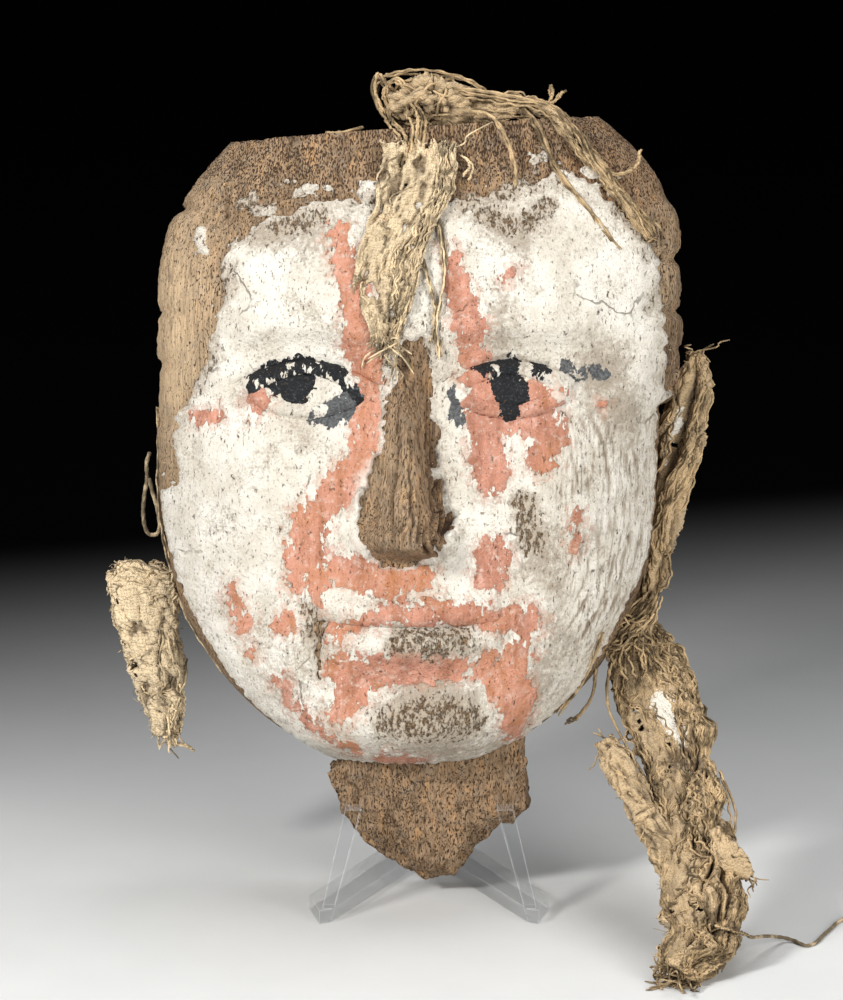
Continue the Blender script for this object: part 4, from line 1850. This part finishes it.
def weave_group():
    """Plain weave from a UV in mm: two sets of yarns that pass over and under each other, shifted by
    noise as in worn gauze. Gives the yarns' height and the gaps between them."""
    group, given, made = new_group("plain_weave", {"Pitch": 0.85}, ("Height", "Gap"))
    uv = add(group, "UVMap", uv_map="Cloth").outputs[0]
    shift = add(group, "TexNoise", {"Vector": uv, "Scale": 0.55, "Detail": 4.0}).outputs["Color"]
    shift = add(group, "VectorMath", {0: shift, "Scale": 2.2}, operation="SCALE").outputs[0]
    moved = add(group, "VectorMath", {0: uv, 1: shift}, operation="ADD").outputs[0]
    axes = add(group, "SeparateXYZ", {0: moved}).outputs
    turn = calc(group, "DIVIDE", math.pi, given["Pitch"])
    waves = [calc(group, "SINE", times(group, axes[k], turn)) for k in (0, 1)]
    ridges = [calc(group, "ABSOLUTE", wave) for wave in waves]
    side = times(group, waves[0], waves[1])
    over = span(group, side, -0.2, 0.2)
    first = times(group, ridges[0], calc(group, "MULTIPLY_ADD", over, 0.45, 0.55))
    second = times(group, ridges[1], calc(group, "MULTIPLY_ADD", over, -0.45, 1.0))
    height = larger(group, first, second)
    group.links.new(height, made["Height"])
    group.links.new(span(group, height, 0.5, 0.25), made["Gap"])
    return group


def cloth_material(stained=False):
    """Worn tan linen: woven yarns, dark resin in the hollows, pale dust on the folds and some chalk."""
    name = "stained_cloth" if stained else "linen_cloth"
    found = bpy.data.materials.get(name)
    if found:
        return found
    material, tree, shader = new_material(
        name, Roughness=0.95, Specular_IOR_Level=0.15, Sheen_Weight=0.15, Sheen_Roughness=0.6
    )
    shade = linen_shade(stained)
    c = looks()
    weave = use_group(tree, weave_group(), {"Pitch": sizes().weave / MM})
    place = object_place(tree)
    cloud = span(tree, speckle(tree, place, 110, 5, 0.65), 0.3, 0.7)
    tan = blend(tree, cloud, tones(shade, 0.66), tones(shade, 1.3))
    worn = span(tree, speckle(tree, place, 420, 4, 0.7), 0.4, 0.65)
    hollow = times(
        tree, span(tree, field_of(tree, "hollow"), 0.32, 0.82),
        calc(tree, "MULTIPLY_ADD", worn, 0.45, 0.55)
    )
    ridge = span(tree, field_of(tree, "hollow"), 0.3, 0.0, 0, 0.5)
    raised = blend(tree, ridge, tan, tones(shade, 1.6 if stained else 1.25, 0.03))
    dark = larger(tree, times(tree, hollow, 0.94), times(tree, weave["Gap"], 0.36))
    colour = blend(tree, dark, raised, c.linen_dark)
    chalk = times(
        tree,
        span(tree, plus(tree, field_of(tree, "chalk"), times(tree, less(tree, worn, 0.5), 0.35)), 0.4, 0.6),
        0.85
    )
    chalked = blend(tree, chalk, colour, c.plaster)
    fine = speckle(tree, place, 1900, 3)
    coarse = speckle(tree, place, 700, 4, 0.6)
    height = plus(tree, times(tree, weave["Height"], 0.6), plus(tree, coarse, times(tree, fine, 0.6)))
    surface(tree, shader, chalked, height, 0.0004)
    return material


class MASK_OT_easel(bpy.types.Operator):
    """Polishes the clear easel: its own solid with merged faces and rounded edges"""

    bl_idname = "mask.easel"
    bl_label = "Clear easel"

    def execute(self, context):
        mesh = bmesh.new()
        mesh.from_mesh(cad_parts["clear_easel"].data)
        bmesh.ops.remove_doubles(mesh, verts=mesh.verts, dist=1e-6)
        bmesh.ops.dissolve_limit(
            mesh, angle_limit=math.radians(1), verts=mesh.verts, edges=mesh.edges
        )
        data = bpy.data.meshes.new("clear_stand")
        mesh.to_mesh(data)
        mesh.free()
        piece = bpy.data.objects.new("clear_stand", data)
        context.scene.collection.objects.link(piece)
        data.materials.append(clear_material("clear_sheet", 1.0, 0.28, 0.03))
        data.materials.append(clear_material("cut_edge", 0.2, 0.92, 0.1))
        bevel = piece.modifiers.new("edges", "BEVEL")
        bevel.material = 1
        bevel.width = sizes().edge
        bevel.segments = 2
        bevel.limit_method = "ANGLE"
        bevel.angle_limit = math.radians(35)
        bevel.harden_normals = True
        data.shade_flat()
        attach(piece, "root")
        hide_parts("clear_easel")
        return {"FINISHED"}


class MASK_OT_stage(bpy.types.Operator):
    """Sets the pale floor and the soft lights"""

    bl_idname = "mask.stage"
    bl_label = "Floor and lights"

    def execute(self, context):
        span_x = np.linspace(-2.4, 2.4, 3)
        turn = np.linspace(0, math.pi / 2, 17)
        run = np.r_[-1.8, 1.5 + 0.45 * np.sin(turn), 1.95]
        rise = np.r_[0, 0.45 * (1 - np.cos(turn)), 2.6]
        grid = np.stack(np.broadcast_arrays(span_x[None], run[:, None], rise[:, None]), -1) / MM
        quads = grid_faces(len(run), 3)
        new_object("studio_floor", grid.reshape(-1, 3), quads, floor_material())
        for name, place, aim, size, power, colour in (
            ("key", (-0.72, -0.66, 0.66), (0, 0, 0.11), 0.2, 12.8, (1, 0.98, 0.95)),
            ("fill", (0.8, -1.0, 0.5), (0, 0, 0.1), 0.7, 14.5, (1, 0.97, 0.92)),
            ("top", (0.1, 0.18, 0.95), (0, 0.02, 0.05), 0.6, 4.5, (1, 1, 1)),
        ):
            light = bpy.data.objects.new(name, bpy.data.lights.new(name, "AREA"))
            context.scene.collection.objects.link(light)
            light.location = place
            aim = Vector(aim) - Vector(place)
            light.rotation_euler = aim.to_track_quat("-Z", "Y").to_euler()
            light.data.size = size
            light.data.energy = power
            light.data.color = colour
        world = bpy.data.worlds.new("studio")
        world.use_nodes = True
        world.node_tree.nodes["Background"].inputs[0].default_value = (0.8, 0.87, 1, 1)
        world.node_tree.nodes["Background"].inputs[1].default_value = 0.13
        context.scene.world = world
        context.scene.view_settings.view_transform = "Standard"
        return {"FINISHED"}


class MASK_PT_tools(bpy.types.Panel):
    """Lists the steps that build the mask"""

    bl_idname = "MASK_PT_tools"
    bl_label = "Funerary mask"
    bl_space_type = "VIEW_3D"
    bl_region_type = "UI"
    bl_category = "Mask"

    def draw(self, context):
        for operator in OPERATORS:
            self.layout.operator(operator.bl_idname)
        for group in (context.scene.mask_sizes, context.scene.mask_colours):
            for key in group.__annotations__:
                self.layout.prop(group, key)


OPERATORS = (
    MASK_OT_camera,
    MASK_OT_threads,
    MASK_OT_wood,
    MASK_OT_plaster,
    MASK_OT_brow,
    MASK_OT_crown,
    MASK_OT_side,
    MASK_OT_scrap,
    MASK_OT_easel,
    MASK_OT_stage,
)
CLASSES = (MaskSizes, MaskColours, *OPERATORS, MASK_PT_tools)


def register():
    for item in CLASSES:
        bpy.utils.register_class(item)
    bpy.types.Scene.mask_sizes = bpy.props.PointerProperty(type=MaskSizes)
    bpy.types.Scene.mask_colours = bpy.props.PointerProperty(type=MaskColours)


def unregister():
    del bpy.types.Scene.mask_colours
    del bpy.types.Scene.mask_sizes
    for item in reversed(CLASSES):
        bpy.utils.unregister_class(item)


def main():
    register()
    bpy.ops.mask.camera()
    bpy.ops.mask.threads()
    bpy.ops.mask.wood()
    bpy.ops.mask.plaster()
    bpy.ops.mask.brow()
    bpy.ops.mask.crown()
    bpy.ops.mask.side()
    bpy.ops.mask.scrap()
    bpy.ops.mask.easel()
    bpy.ops.mask.stage()


if __name__ == "__main__":
    main()
